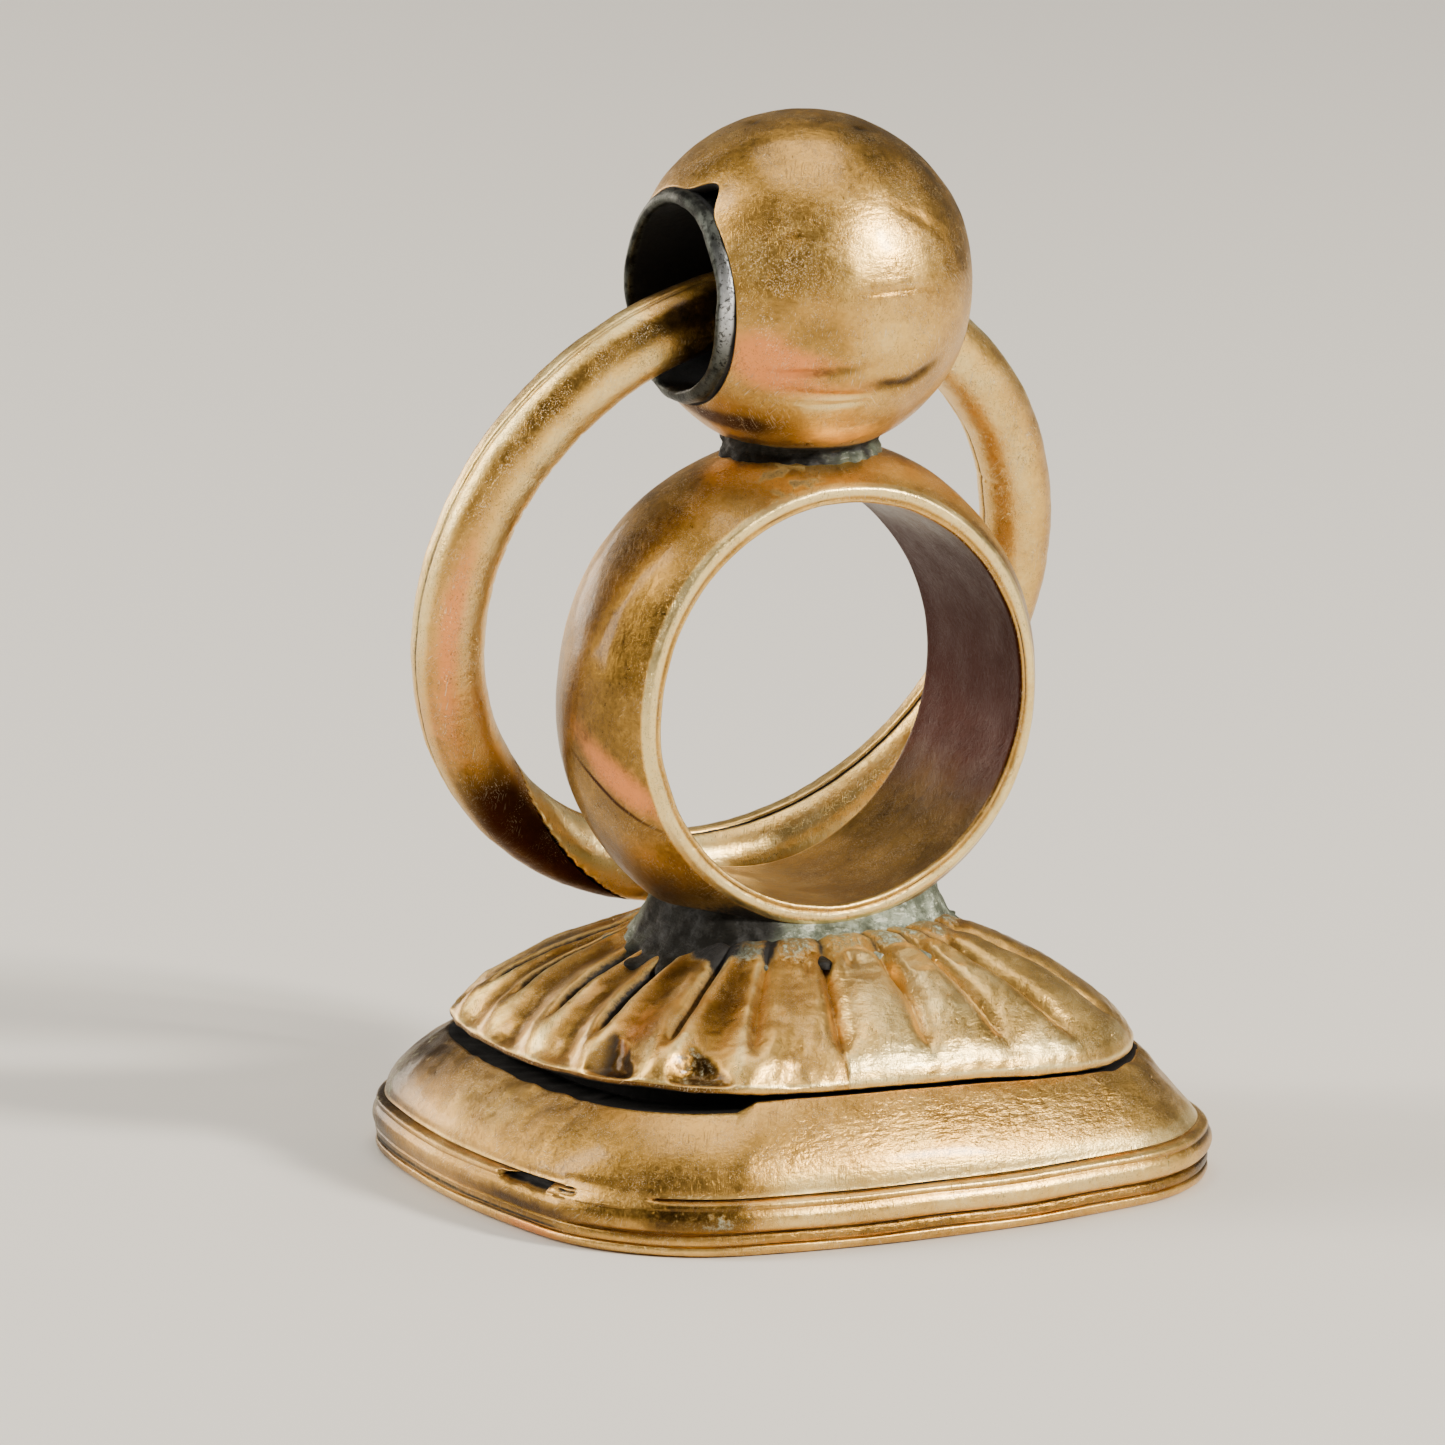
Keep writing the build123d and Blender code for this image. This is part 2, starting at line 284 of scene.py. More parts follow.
class Finish:
    """A material whose nodes are added one by one."""

    def __init__(self, name):
        self.material = bpy.data.materials.new(name)
        self.material.use_nodes = True
        self.tree = self.material.node_tree
        self.tree.nodes.clear()
        self.place = self.node("TexCoord", output="Object")

    def node(self, kind, sockets=None, output=0, **settings):
        """Adds a node, sets its settings and then its sockets, and returns one of its outputs."""
        made = self.tree.nodes.new("ShaderNode" + kind)
        stops = settings.pop("stops", ())
        for setting, value in settings.items():
            setattr(made, setting, value)
        for number, (position, colour) in enumerate(stops):
            ramp = made.color_ramp.elements
            stop = ramp[number] if number < 2 else ramp.new(position)
            stop.position, stop.color = position, colour
        for socket, value in (sockets or {}).items():
            if isinstance(value, Wire):
                self.tree.links.new(value.socket, made.inputs[socket])
            else:
                made.inputs[socket].default_value = value
        return Wire(self, made.outputs[output]) if made.outputs else None

    def mark(self, name):
        """The number stored on the vertices under that name, 0 where a piece has none."""
        return self.node("Attribute", output="Fac", attribute_name=name)

    def noise(self, size, detail=3.0, stretch=(1, 1, 1), turn=(0, 0, 0), roughness=0.55):
        """Noise with features about size millimetres across, stretched along an axis if asked."""
        turned = self.node("Mapping", {"Vector": self.place, "Rotation": [math.radians(t) for t in turn]})
        scaled = self.node("Mapping", {"Vector": turned, "Scale": [1 / s for s in stretch]})
        sockets = {"Vector": scaled, "Scale": 1 / (size * MM), "Detail": detail, "Roughness": roughness}
        return self.node("TexNoise", sockets, output="Fac")

    def step(self, value, low, high):
        """A soft step of a value from low to high. With low above high it falls instead."""
        sockets = {"Value": value, "From Min": low, "From Max": high}
        return self.node("MapRange", sockets, interpolation_type="SMOOTHSTEP")

    def mix(self, amount, first, second):
        """Goes from the first colour to the second as amount goes from 0 to 1."""
        sockets = {0: amount, 6: first, 7: second}
        return self.node("Mix", sockets, output=2, data_type="RGBA", clamp_factor=True)

    def surface(self, colour, roughness, metallic, height, depth, **constants):
        """Ends the material in one Principled shader, with the height as bump of that depth in mm."""
        bump = self.node("Bump", {"Height": height, "Distance": depth * MM, "Strength": 1.0})
        sockets = {"Base Color": colour, "Roughness": roughness, "Metallic": metallic, "Normal": bump}
        shader = self.node("BsdfPrincipled", {**sockets, **constants})
        self.node("OutputMaterial", {"Surface": shader})
        return self.material


def paint(red, green, blue):
    """A colour given as display values from 0 to 255, made linear by the sRGB curve."""
    shares = [channel / 255 for channel in (red, green, blue)]
    return [s / 12.92 if s <= 0.04045 else ((s + 0.055) / 1.055) ** 2.4 for s in shares] + [1.0]


print("paint(188, 188, 188) is about half:", paint(188, 188, 188)[0])

# %% [markdown]
# The gold is thin sheet over a filler, rubbed by long use. Its tone runs from brown tarnish in the
# sheltered parts to bright cream where hands touch it, and it also carries painted highlights and
# painted shade, so one number, `tone`, is stored on the vertices and a ramp of colours reads it. A pink
# mark is a painted reflection, a red mark is mostly painted dark red-brown shade, grey-green crust covers
# the solder, and black dirt and painted shade sit in the grooves and gaps: each is a mark of its own, and
# noise breaks up its edge. Fine hair scratches run in several directions over a satin grain.

# %% Gold finish
GOLD_TONES = (
    (0.00, paint(32, 20, 6)),
    (0.20, paint(80, 56, 18)),
    (0.40, paint(140, 105, 42)),
    (0.60, paint(200, 154, 76)),
    (0.80, paint(238, 197, 112)),
    (1.00, paint(254, 228, 158)),
)
CREAM = paint(252, 238, 205)
BROWN_LINE = paint(84, 60, 28)
# A painted pink reflection, mostly painted dark red-brown shade, and the colour of dirt and painted shade
PINK_REFLECTION = paint(246, 150, 84)
RED_SHADE = paint(54, 16, 4)
SHADE_AND_DIRT = paint(16, 11, 5)
CRUST = paint(94, 100, 78)
PALE_CRUST = paint(186, 194, 168)


def hairs(finish, turn, thickness=0.030, length=24, cover=0.63):
    """Short thin lines along one direction: noise stretched that way, cut near its peaks, in patches."""
    lines = finish.noise(thickness, detail=1.0, stretch=(length, 1, 1), turn=turn)
    local = finish.noise(0.9, detail=1.0, turn=turn)
    return finish.step(lines, cover, cover + 0.06) * finish.step(local, 0.46, 0.60)


def gold(name, hair_strength=1.0):
    """Worn gold: a ramp of tones, and over it the layers that the marks on the vertices ask for."""
    finish = Finish(name)
    broad = finish.noise(4.0, detail=3.0)
    patches = finish.noise(1.2, detail=5.0, roughness=0.62)
    grain = finish.noise(0.16, detail=4.0, roughness=0.7)

    def frayed(value, by_patches, by_grain):
        """A value whose edges are broken up by the two noises."""
        return value + (patches - 0.5) * by_patches + (grain - 0.5) * by_grain

    tone = frayed(finish.mark("tone") + (broad - 0.5) * 0.36, 0.36, 0.34)
    colour = finish.node("ValToRGB", {"Fac": tone}, stops=GOLD_TONES)
    # The pink mark is a painted reflection, and the red mark mostly painted dark red-brown shade
    pink_reflection = finish.step(frayed(finish.mark("pink_reflection"), 0.6, 0.4), 0.20, 1.00)
    colour = finish.mix(pink_reflection * 0.80, colour, PINK_REFLECTION)
    red = finish.step(frayed(finish.mark("red"), 0.6, 0.3), 0.20, 0.90)
    colour = finish.mix(red * 0.95, colour, RED_SHADE)

    # Hair scratches, bright and dark, on the brighter gold
    bright = hairs(finish, (0, 90, 20)).most(hairs(finish, (25, 40, 70))).most(hairs(finish, (70, 15, 130)))
    dark = hairs(finish, (10, 60, 150)).most(hairs(finish, (55, 80, 35)))
    lit = finish.step(finish.mark("tone"), 0.25, 0.60)
    colour = finish.mix(bright * lit * 0.45 * hair_strength, colour, CREAM)
    colour = finish.mix(dark * lit * 0.45 * hair_strength, colour, BROWN_LINE)
    stipple = finish.mark("grain") * finish.noise(0.11, detail=3.0, stretch=(3.5, 3.5, 1), roughness=0.65)
    colour = finish.mix(finish.step(stipple, 0.40, 0.56) * 0.45, colour, BROWN_LINE)

    # Crust, and dirt with painted shade, lie on top, and both are rough and dull
    crust = finish.step(frayed(finish.mark("crust"), 0.8, 0.8), 0.35, 0.75)
    crust_colour = finish.mix(finish.step(grain + (patches - 0.5) * 0.5, 0.46, 0.64), CRUST, PALE_CRUST)
    colour = finish.mix(crust, colour, crust_colour)
    dirt_and_shade = finish.step(frayed(finish.mark("dirt_and_shade"), 0.3, 0.5), 0.25, 0.75)
    colour = finish.mix(dirt_and_shade, colour, SHADE_AND_DIRT)
    # Where red shade is painted the gold is rougher and loses its coat
    red_shaded = finish.step(finish.mark("red"), 0.20, 0.90)
    roughness = frayed(0.35 + crust * 0.30 + dirt_and_shade * 0.35 + red_shaded * 0.15, 0.30, 0.25)
    metallic = (1.0 - crust * 0.70 - dirt_and_shade * 0.85).most(0.0)
    height = patches * 0.45 + grain * 0.34 + crust * grain * 1.5 + stipple * 1.4
    height = height - (bright + dark) * 0.22 * hair_strength
    coat = ((1.0 - dirt_and_shade - crust - red_shaded) * 0.22).most(0.0)
    sheen = {"Coat Weight": coat, "Coat Roughness": 0.14, "Coat Tint": paint(255, 240, 210)}
    return finish.surface(colour, roughness, metallic, height, depth=0.045, **sheen)


worn_gold = gold("worn_gold")
ring_gold = gold("ring_gold", hair_strength=1.2)
print("finishes", [m.name for m in (worn_gold, ring_gold)])

# %% [markdown]
# The solder between dome and band has turned grey-green and crusty. The liner of the bore is a dull
# silver-grey metal, speckled dark. Both are short recipes of the same kind. The stone is carnelian, an
# orange-red quartz with cloudy bands, which lets some light in.

# %% Solder, liner and stone finishes


def solder_finish():
    """Grey-green crust with pale flakes over dull metal."""
    finish = Finish("solder_crust")
    flakes = finish.noise(0.7, detail=6.0, roughness=0.72)
    streaks = finish.noise(0.10, detail=4.0, roughness=0.7, stretch=(3.0, 3.0, 1.0))
    colour = finish.mix(finish.step(flakes, 0.38, 0.64), paint(84, 90, 74), paint(160, 170, 148))
    pale = finish.step(streaks + (flakes - 0.5) * 0.6, 0.54, 0.68) * 0.8
    colour = finish.mix(pale, colour, paint(226, 232, 214))
    tarnish = finish.step(finish.mark("tarnish") + (flakes - 0.5) * 0.9, 0.25, 0.75)
    colour = finish.mix(tarnish, colour, paint(112, 84, 46))
    # The dirt mark is mostly painted shade, black where the solder lies in shadow
    dirt_and_shade = finish.step(finish.mark("dirt_and_shade") + (flakes - 0.5) * 0.9, 0.25, 0.75)
    colour = finish.mix(dirt_and_shade, colour, paint(20, 18, 11))
    roughness = 0.50 + streaks * 0.3
    metallic = finish.step(flakes, 0.62, 0.46) * 0.6
    height = flakes * 0.8 + streaks * 1.0
    return finish.surface(colour, roughness, metallic, height, depth=0.05)


def liner_finish():
    """Dull grey metal with dark speckles, a painted highlight and painted shade."""
    finish = Finish("grey_liner")
    patches = finish.noise(0.8, detail=5.0, roughness=0.65)
    fine = finish.noise(0.13, detail=4.0, roughness=0.7)
    colour = finish.mix(finish.step(patches, 0.36, 0.60), paint(26, 26, 23), paint(70, 72, 66))
    # The tone mark paints a highlight
    colour = finish.mix(finish.mark("tone"), colour, paint(236, 238, 240))
    colour = finish.mix(finish.step(fine, 0.52, 0.64) * 0.85, colour, paint(24, 23, 19))
    # The dirt mark is mostly painted shade inside the tube
    dirt_and_shade = finish.step(finish.mark("dirt_and_shade") + (patches - 0.5) * 0.5, 0.25, 0.75)
    colour = finish.mix(dirt_and_shade, colour, paint(8, 7, 6))
    roughness = 0.30 + fine * 0.25 + dirt_and_shade * 0.4
    metallic = (1.0 - dirt_and_shade * 0.9).most(0.0)
    return finish.surface(colour, roughness, metallic, patches + fine * 0.6, depth=0.03)


def carnelian_finish():
    """Cloudy orange-red stone, darker in bands, with a glassy polish."""
    finish = Finish("carnelian")
    clouds = finish.noise(3.5, detail=4.0, stretch=(1, 2.5, 1), turn=(0, 0, 25))
    threads = finish.noise(0.5, detail=3.0, stretch=(1, 6, 1), turn=(0, 0, 25))
    colour = finish.mix(finish.step(clouds, 0.35, 0.65), paint(150, 40, 14), paint(214, 92, 36))
    colour = finish.mix(finish.step(threads, 0.55, 0.70) * 0.5, colour, paint(232, 136, 70))
    height = finish.noise(0.3, detail=2.0) * 0.2
    depths = {"Subsurface Weight": 0.25, "Subsurface Scale": 2.0 * MM}
    polish = {"Coat Weight": 0.4, "Coat Roughness": 0.06}
    return finish.surface(colour, 0.14 + clouds * 0.06, 0.0, height, depth=0.004, **depths, **polish)


solder_crust = solder_finish()
grey_liner = liner_finish()
carnelian = carnelian_finish()
print("finishes", [m.name for m in (solder_crust, grey_liner, carnelian)])

# %% [markdown]
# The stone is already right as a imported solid: a flat table, sixteen bevel facets and a straight
# girdle. Its facets are flat, so it needs no new surface, only its carnelian finish.

# %% Stone
stone = frame["nodes"]["stone"]
stone.data.materials.clear()
stone.data.materials.append(carnelian)
print("stone faces", len(stone.data.polygons))

# %% [markdown]
# The foot and the dome share one kind of plan: a cushion, with four slightly bowed sides and round
# corners. Seen from the middle, each direction meets one circle arc, a side or a corner. So the plan
# can be a formula for the distance to the outline, and a whole surface is that distance worked out for
# every height and every direction at once.

# %% Cushion plan
cushion_bulge = 1.35
corner_radius = 5.2
corner_share = 0.75


def cushion_reach(half_x, half_y, bulge, corner, turn):
    """Distance from the middle to a cushion's outline in the direction turn.

    A side is the arc through its own middle and two points that lie bulge inside the corners of the
    plan's box. A corner is the arc that touches both sides from inside. A ray in direction d meets a
    circle of radius R about C at d.C + sqrt((d.C)^2 - C.C + R^2)."""
    ray_x, ray_y = np.abs(np.cos(turn)), np.abs(np.sin(turn))
    front = ((half_x - bulge) ** 2 + bulge**2) / (2 * bulge)
    side = ((half_y - bulge) ** 2 + bulge**2) / (2 * bulge)
    front_y = half_y - front
    side_x = half_x - side
    near, far = front - corner, side - corner
    apart = np.hypot(side_x, front_y)
    along = (near**2 - far**2 + apart**2) / (2 * apart)
    beside = np.sqrt(near**2 - along**2)
    corner_x = (side_x * along - front_y * beside) / apart
    corner_y = front_y - (front_y * along + side_x * beside) / apart
    front_end = np.arctan2(front_y + front * (corner_y - front_y) / near, front * corner_x / near)
    side_end = np.arctan2(side * corner_y / far, side_x + side * (corner_x - side_x) / far)
    angle = np.arctan2(ray_y, ray_x)
    on_front, on_side = angle > front_end, angle < side_end
    middle_x = np.where(on_front, 0, np.where(on_side, side_x, corner_x))
    middle_y = np.where(on_front, front_y, np.where(on_side, 0, corner_y))
    radius = np.where(on_front, front, np.where(on_side, side, corner))
    towards = ray_x * middle_x + ray_y * middle_y
    return towards + np.sqrt(towards**2 - middle_x**2 - middle_y**2 + radius**2)


def oval_reach(half_x, half_y, turn, power=3.2):
    """Distance to a squarish oval: (|cos|/a)^p + (|sin|/b)^p, to the power -1/p."""
    along_x, along_y = np.abs(np.cos(turn)) / half_x, np.abs(np.sin(turn)) / half_y
    return (along_x**power + along_y**power) ** (-1 / power)


def foot_reach(inset, turn):
    """The foot's plan, moved inwards by inset."""
    bulge = cushion_bulge * (1 - inset / foot_half_x)
    corner = corner_radius - corner_share * inset
    return cushion_reach(foot_half_x - inset, foot_half_y - inset, bulge, corner, turn)


def ring_of_points(reach, height, turn):
    """Points at a distance from the upright axis, in the direction turn, at a height."""
    height = np.broadcast_to(height, reach.shape)
    return np.stack([reach * np.cos(turn), reach * np.sin(turn), height], -1)


def by_direction(chart, column, degrees):
    """A column of a chart whose first column is a direction, drawn smoothly round the circle."""
    return np.interp(degrees, chart[:, 0], chart[:, column], period=360)


print("foot corner reach", round(float(foot_reach(0, np.radians(45.0))), 2), "mm")

# %% [markdown]
# The foot and the dome meet in a seam that is far from even. At the left it gapes, in front it closes
# to a hairline, and at the right front corner the dome has sunk. Both pieces read the same small chart.

# %% Seam chart
seam = np.array([
    # direction in degrees, height of the dome's lip, height of the foot's top edge
    (-180.0, 3.65, 3.28),
    (-168.0, 3.71, 3.27),
    (-156.0, 3.83, 3.31),
    (-144.0, 3.93, 3.36),
    (-132.0, 3.88, 3.40),
    (-128.0, 3.84, 3.40),
    (-125.0, 3.80, 3.66),
    (-118.0, 3.74, 3.68),
    (-96.0, 3.70, 3.65),
    (-78.0, 3.62, 3.56),
    (-60.0, 3.43, 3.38),
    (-48.0, 3.29, 3.25),
    (-36.0, 3.33, 3.28),
    (0.0, 3.52, 3.42),
    (60.0, 3.60, 3.42),
    (110.0, 3.62, 3.36),
    (150.0, 3.65, 3.22),
])
print("widest gap", round(float((seam[:, 1] - seam[:, 2]).max()), 2), "mm")

# %% [markdown]
# The foot is a moulding pressed from sheet: a thin bottom lip, a narrow fillet, a round bead, a step,
# and a tall bowed side. Sections of such mouldings are best drawn as a table from the underside up to
# the top edge, and then down the hidden inner side. Its care column keeps the rows for what is seen.

# %% Foot section
side_foot = 1.56
ovolo_share = np.linspace(0, 1, 14)
ovolo = np.column_stack([
    0.33 + 1.51 * ovolo_share**1.75,
    side_foot + (foot_top - side_foot) * ovolo_share,
    np.zeros(14),
    np.ones(14),
])
foot_section = np.vstack([
    # inset, height, share of the stone's oval, care
    [(2.65, 0.00, 1, 0.2), (2.00, 0.00, 0.6, 0.2), (0.90, 0.00, 0.1, 0.3), (0.26, 0.00, 0, 1)],
    [(0.14, 0.06, 0, 1), (0.09, 0.17, 0, 1), (0.11, 0.28, 0, 1), (0.21, 0.315, 0, 1)],
    [(0.12, 0.35, 0, 1), (0.10, 0.46, 0, 1), (0.13, 0.58, 0, 1), (0.23, 0.63, 0, 1)],
    [(0.12, 0.68, 0, 1), (0.03, 0.78, 0, 1), (0.00, 0.92, 0, 1), (0.02, 1.08, 0, 1)],
    [(0.08, 1.20, 0, 1), (0.13, 1.26, 0, 1), (0.09, 1.31, 0, 1), (0.12, 1.41, 0, 1)],
    [(0.22, 1.46, 0, 1), (0.38, 1.485, 0, 1), (0.38, 1.515, 0, 1), (0.30, 1.53, 0, 1)],
    ovolo,
    [(1.93, foot_top - 0.03, 0, 1), (2.20, foot_top - 0.06, 0, 0.4), (3.09, foot_top - 0.10, 0, 0.1)],
    [(3.09, 1.87, 0, 0.1), (1.10, 1.87, 1, 0.1), (1.10, 0.97, 1, 0.1)],
])
foot_rows = rows_of(rounded(foot_section, softness=0.016), 104)
foot_turn, foot_degrees = circle(900)
inset, height, oval_share = (column[:, None] for column in foot_rows.T[:3])
outside = (inset < 1.9) & (height > 0.03)
print("foot rows", foot_rows.shape, "seen rows", int(outside.sum()))

# %% [markdown]
# The handwork is added before the sweep, by direction: first the slight waves that any pressed sheet
# has, and a sharper edge over the fillet at the left. They are measured on the plain sweep, so that
# they run over the surface evenly.

# %% Foot waves
plain = ring_of_points(foot_reach(inset, foot_turn), height, foot_turn)
ragged = lumps(plain, 1.2, seed=6)
sharp_left = 1 - ease(off(foot_degrees, -150), -6, 6) * (1 - ease(off(foot_degrees, 0), 120, 150))
inset = inset + outside * (0.010 * lumps(plain, 9.0, seed=3) + 0.007 * lumps(plain, 2.6, seed=4))
inset = inset - 0.10 * sharp_left * spot(height, 0.63, 0.05) * outside
height = height + outside * between(height, 0.2, 1.45, 0.3) * 0.014 * lumps(plain, 5.0, seed=5)
print("the inset now varies by", round(float(np.ptp(inset - foot_rows[:, :1])), 3), "mm")

# %% [markdown]
# At the front left corner a patch of sheet is laid over the step, so the section there is one plain
# bow. Beside it the sheet is torn: a slot, open and dark, and a crack that leads out of it.

# %% Foot patch and tear
patched = between(off(foot_degrees, -145) + 1.2 * ragged, -6.5, 7.5, 2.0)
patch = patched * between(height, 0.98, 1.85, 0.25) * outside
patch_inset = 0.03 + 0.36 * np.clip((height - 0.95) / 0.75, 0, 1) ** 1.5
inset = inset + patch * (patch_inset + 0.008 * lumps(plain, 1.4, seed=7) - inset)
slot_top = 1.47 + 0.02 * lumps(plain, 1.0, seed=8)
slot_foot = 1.26 + 0.03 * lumps(plain, 1.0, seed=9)
slot = between(off(foot_degrees, -159.3) + 0.5 * ragged, -5.3, 5.0, 0.5)
slot = slot * between(height, slot_foot, slot_top, 0.08)
crack_line = 1.42 + 0.05 * lumps(plain, 0.6, seed=10)
crack = between(off(foot_degrees, -152), -3.5, 2.6, 0.8) * spot(height, crack_line, 0.035)
crack = crack * ease(ragged, -0.9, -0.2)
inset = inset + outside * (0.42 * slot + 0.12 * crack)
print("slot", round(float(slot.max()), 2), "crack", round(float(crack.max()), 2))

# %% [markdown]
# The seam chart stretches the bowed side up or down to its own top edge, and at the right front corner
# the side is pressed a little flat. Then the sweep is made. The hidden rows blend from the foot's
# cushion to the oval seat of the stone.

# %% Foot grid
stretch = (by_direction(seam, 2, foot_degrees) - side_foot) / (foot_top - side_foot)
flattened = outside * 0.32 * toward(foot_degrees, -25, 26) * between(height, 1.75, 2.95, 1.0)
inset = inset + flattened
nibbled = 1 + 0.010 * lumps(plain, 1.0, seed=13) * (stretch < 0.97)
tall = np.where(height > side_foot, side_foot + (height - side_foot) * stretch * nibbled, height)
foot_out = foot_reach(inset, foot_turn)
seat = oval_reach(foot_half_x - inset, foot_half_y - inset, foot_turn)
foot_points = ring_of_points((1 - oval_share) * foot_out + oval_share * seat, tall, foot_turn)
print("foot grid", foot_points.shape)

# %% [markdown]
# The marks on the foot follow its history, and some are painted light. Dark lines run in the grooves,
# painted shade lies under the step, in the line over the fillet at the left, low on the bead at the left,
# in the slot and in the gap under the dome, the bead is grey and rough next to the patch, and the sheltered
# corners are dark. The bowed side is olive-brown at the left, paler and finely stippled at the right, with
# painted shade and light over it at the left and a painted highlight along its lower edge and on the step's
# top edge. The bead at the right carries painted highlights over a darker painted reflection, and a painted
# pink reflection runs along the bottom lip at the left and over the bead at the right. The side that the
# photograph doesn't show gets the same wear, spread by `lumps`.

# %% Foot marks
lip_groove, bead_groove, step_height = 0.315, 0.635, 1.50
foot_cloud = lumps(foot_points, 6.0, seed=11)
foot_patches = lumps(foot_points, 1.6, seed=12)
bead = between(height, 0.70, 1.45, 0.1) * outside
side = between(height, 1.56, 3.3, 0.2) * outside
right_part = ease(off(foot_degrees, -124), -2, 6) * (1 - ease(off(foot_degrees, 20), 60, 120))
left_part = 1 - right_part
# Painted shadow under the step's overhanging edge, left out under the patch
step_shadow = spot(height, step_height, 0.016) * (1 - patched) * (0.90 + 0.12 * foot_patches)
foot_lines = 0.62 * spot(height, lip_groove, 0.016)
foot_lines = foot_lines + 0.80 * spot(height, bead_groove, 0.016) * (1 - sharp_left)
# At the left a wider line of painted shade lies over the fillet
foot_lines = foot_lines + 0.75 * spot(height, 0.42, 0.045) * sharp_left + step_shadow
grey_stretch = between(off(foot_degrees, -131.5) + 0.8 * ragged, -6.0, 6.5, 3.0)
grey_stretch = grey_stretch * between(height, 0.70, 1.44, 0.25)
low_shade = toward(foot_degrees, -160, 13) * spot(height, 0.80, 0.20)
right_corner = toward(foot_degrees, -35, 7) * between(height, 0.2, 1.45, 0.3)
left_corner = toward(foot_degrees, 150, 9)
gap_shade = (inset > 1.87) * (height > 1.9)
side_shade = toward(foot_degrees, -148, 13) * spot(height, 2.2, 0.5)
side_light = toward(foot_degrees, -172, 12) * spot(height, 2.8, 0.5)
# A painted highlight along the lower edge of the bowed side
lower_edge_highlight = spot(height, 1.72, 0.16) * right_part
bottom_lip = between(height, 0.04, 0.30, 0.1)
right_fillet = between(height, 0.36, 0.62, 0.05) * right_part
# The tone paints highlights along the side's lower edge, on the step's top edge and on the bead at the
# right, with a darker painted reflection across that bead
foot_tone = (
    0.60 + 0.015 * foot_cloud + 0.008 * foot_patches
    + side * (0.06 * right_part - 0.05 * left_part - 0.14 * side_shade + 0.12 * side_light)
    + 0.26 * lower_edge_highlight + 0.20 * spot(height, 1.575, 0.03) * (1 - patched)
    + bead * right_part * (0.26 - 0.30 * spot(height, 1.25, 0.06)) + 0.12 * between(height, 0.04, 0.30, 0.05)
    - 0.10 * right_fillet
    - 0.34 * low_shade - 0.38 * right_corner - 0.40 * left_corner
    - 0.14 * patch * (height < 1.25) - 0.32 * grey_stretch
)
foot_marks = {
    "tone": foot_tone,
    # Dark lines in the grooves, and painted shade under the step, in the slot and in the gap under the dome
    "dirt_and_shade": foot_lines * outside + 1.4 * slot * (inset > 0.20) + 0.9 * crack + 1.3 * gap_shade
    + 0.2 * (height < 0.02),
    # A painted pink reflection along the bottom lip and on the bead at the right
    "pink_reflection": bottom_lip * (0.62 * toward(foot_degrees, -158, 6) + 0.15 * left_part)
    + 0.25 * bead * toward(foot_degrees, -104, 14),
    "crust": 0.32 * grey_stretch + 0.30 * spot(height, 0.55, 0.06) * right_part
    + 0.35 * left_corner * outside,
    "grain": side * toward(foot_degrees, -80, 32) * spot(height, 2.7, 0.55) + 0.5 * right_fillet,
}
add_piece("foot", foot_points, worn_gold, "seal", "base_frame", foot_marks)

# %% [markdown]
# The dome is stamped with flutes that run from the band down to the lip. They were finished by hand,
# so no two are alike, and a chart with one row per flute is the honest way to hold that. A dark narrow
# groove parts each flute from the next. At the left the flutes are scooped hollow between two crests
# and end in a pit at the lip. At the right they are broad lobes. The grooves spread a little as they
# climb, so each has one direction at the lip and one at the top.

# %% Flute chart
flutes = np.array([
    # groove at the lip, groove at the top, groove depth, its darkness, scoop depth after it, pit width
    (-192.0, -206.0, 0.34, 1.00, 0.20, 0.65),
    (-175.0, -183.0, 0.40, 1.00, 0.24, 0.60),
    (-158.0, -165.5, 0.40, 1.00, 0.26, 1.55),
    (-142.0, -143.5, 0.38, 1.00, 0.26, 1.75),
    (-125.5, -128.0, 0.26, 0.60, 0.06, 0.70),
    (-107.5, -106.0, 0.30, 0.55, -0.14, 0.00),
    (-88.5, -80.5, 0.22, 0.40, -0.13, 0.00),
    (-69.5, -64.0, 0.20, 0.32, -0.12, 0.00),
    (-52.5, -55.0, 0.20, 0.32, -0.10, 0.00),
    (-36.0, -38.0, 0.24, 0.50, -0.05, 0.00),
    (-18.0, -19.0, 0.28, 0.70, 0.08, 0.50),
    (0.0, 0.0, 0.32, 0.80, 0.16, 0.70),
    (17.0, 18.0, 0.30, 0.80, 0.16, 0.80),
    (34.0, 36.0, 0.30, 0.75, 0.12, 0.70),
    (52.0, 54.0, 0.28, 0.70, 0.06, 0.60),
    (69.0, 70.0, 0.28, 0.70, 0.06, 0.50),
    (87.0, 87.0, 0.28, 0.75, 0.10, 0.60),
    (104.0, 102.0, 0.30, 0.80, 0.14, 0.70),
    (121.0, 118.0, 0.32, 0.90, 0.18, 0.80),
    (138.0, 134.0, 0.34, 0.90, 0.20, 0.80),
    (154.0, 149.0, 0.34, 0.95, 0.20, 0.70),
])
print("flutes", len(flutes))

# %% [markdown]
# The dome's section runs from the flat top out and down to a thin lip, under the lip, down and up the
# hidden skirt, and back inside. Its plan is a cushion at every height, and shrinks from the lip to the
# top, faster along one side than along the other.

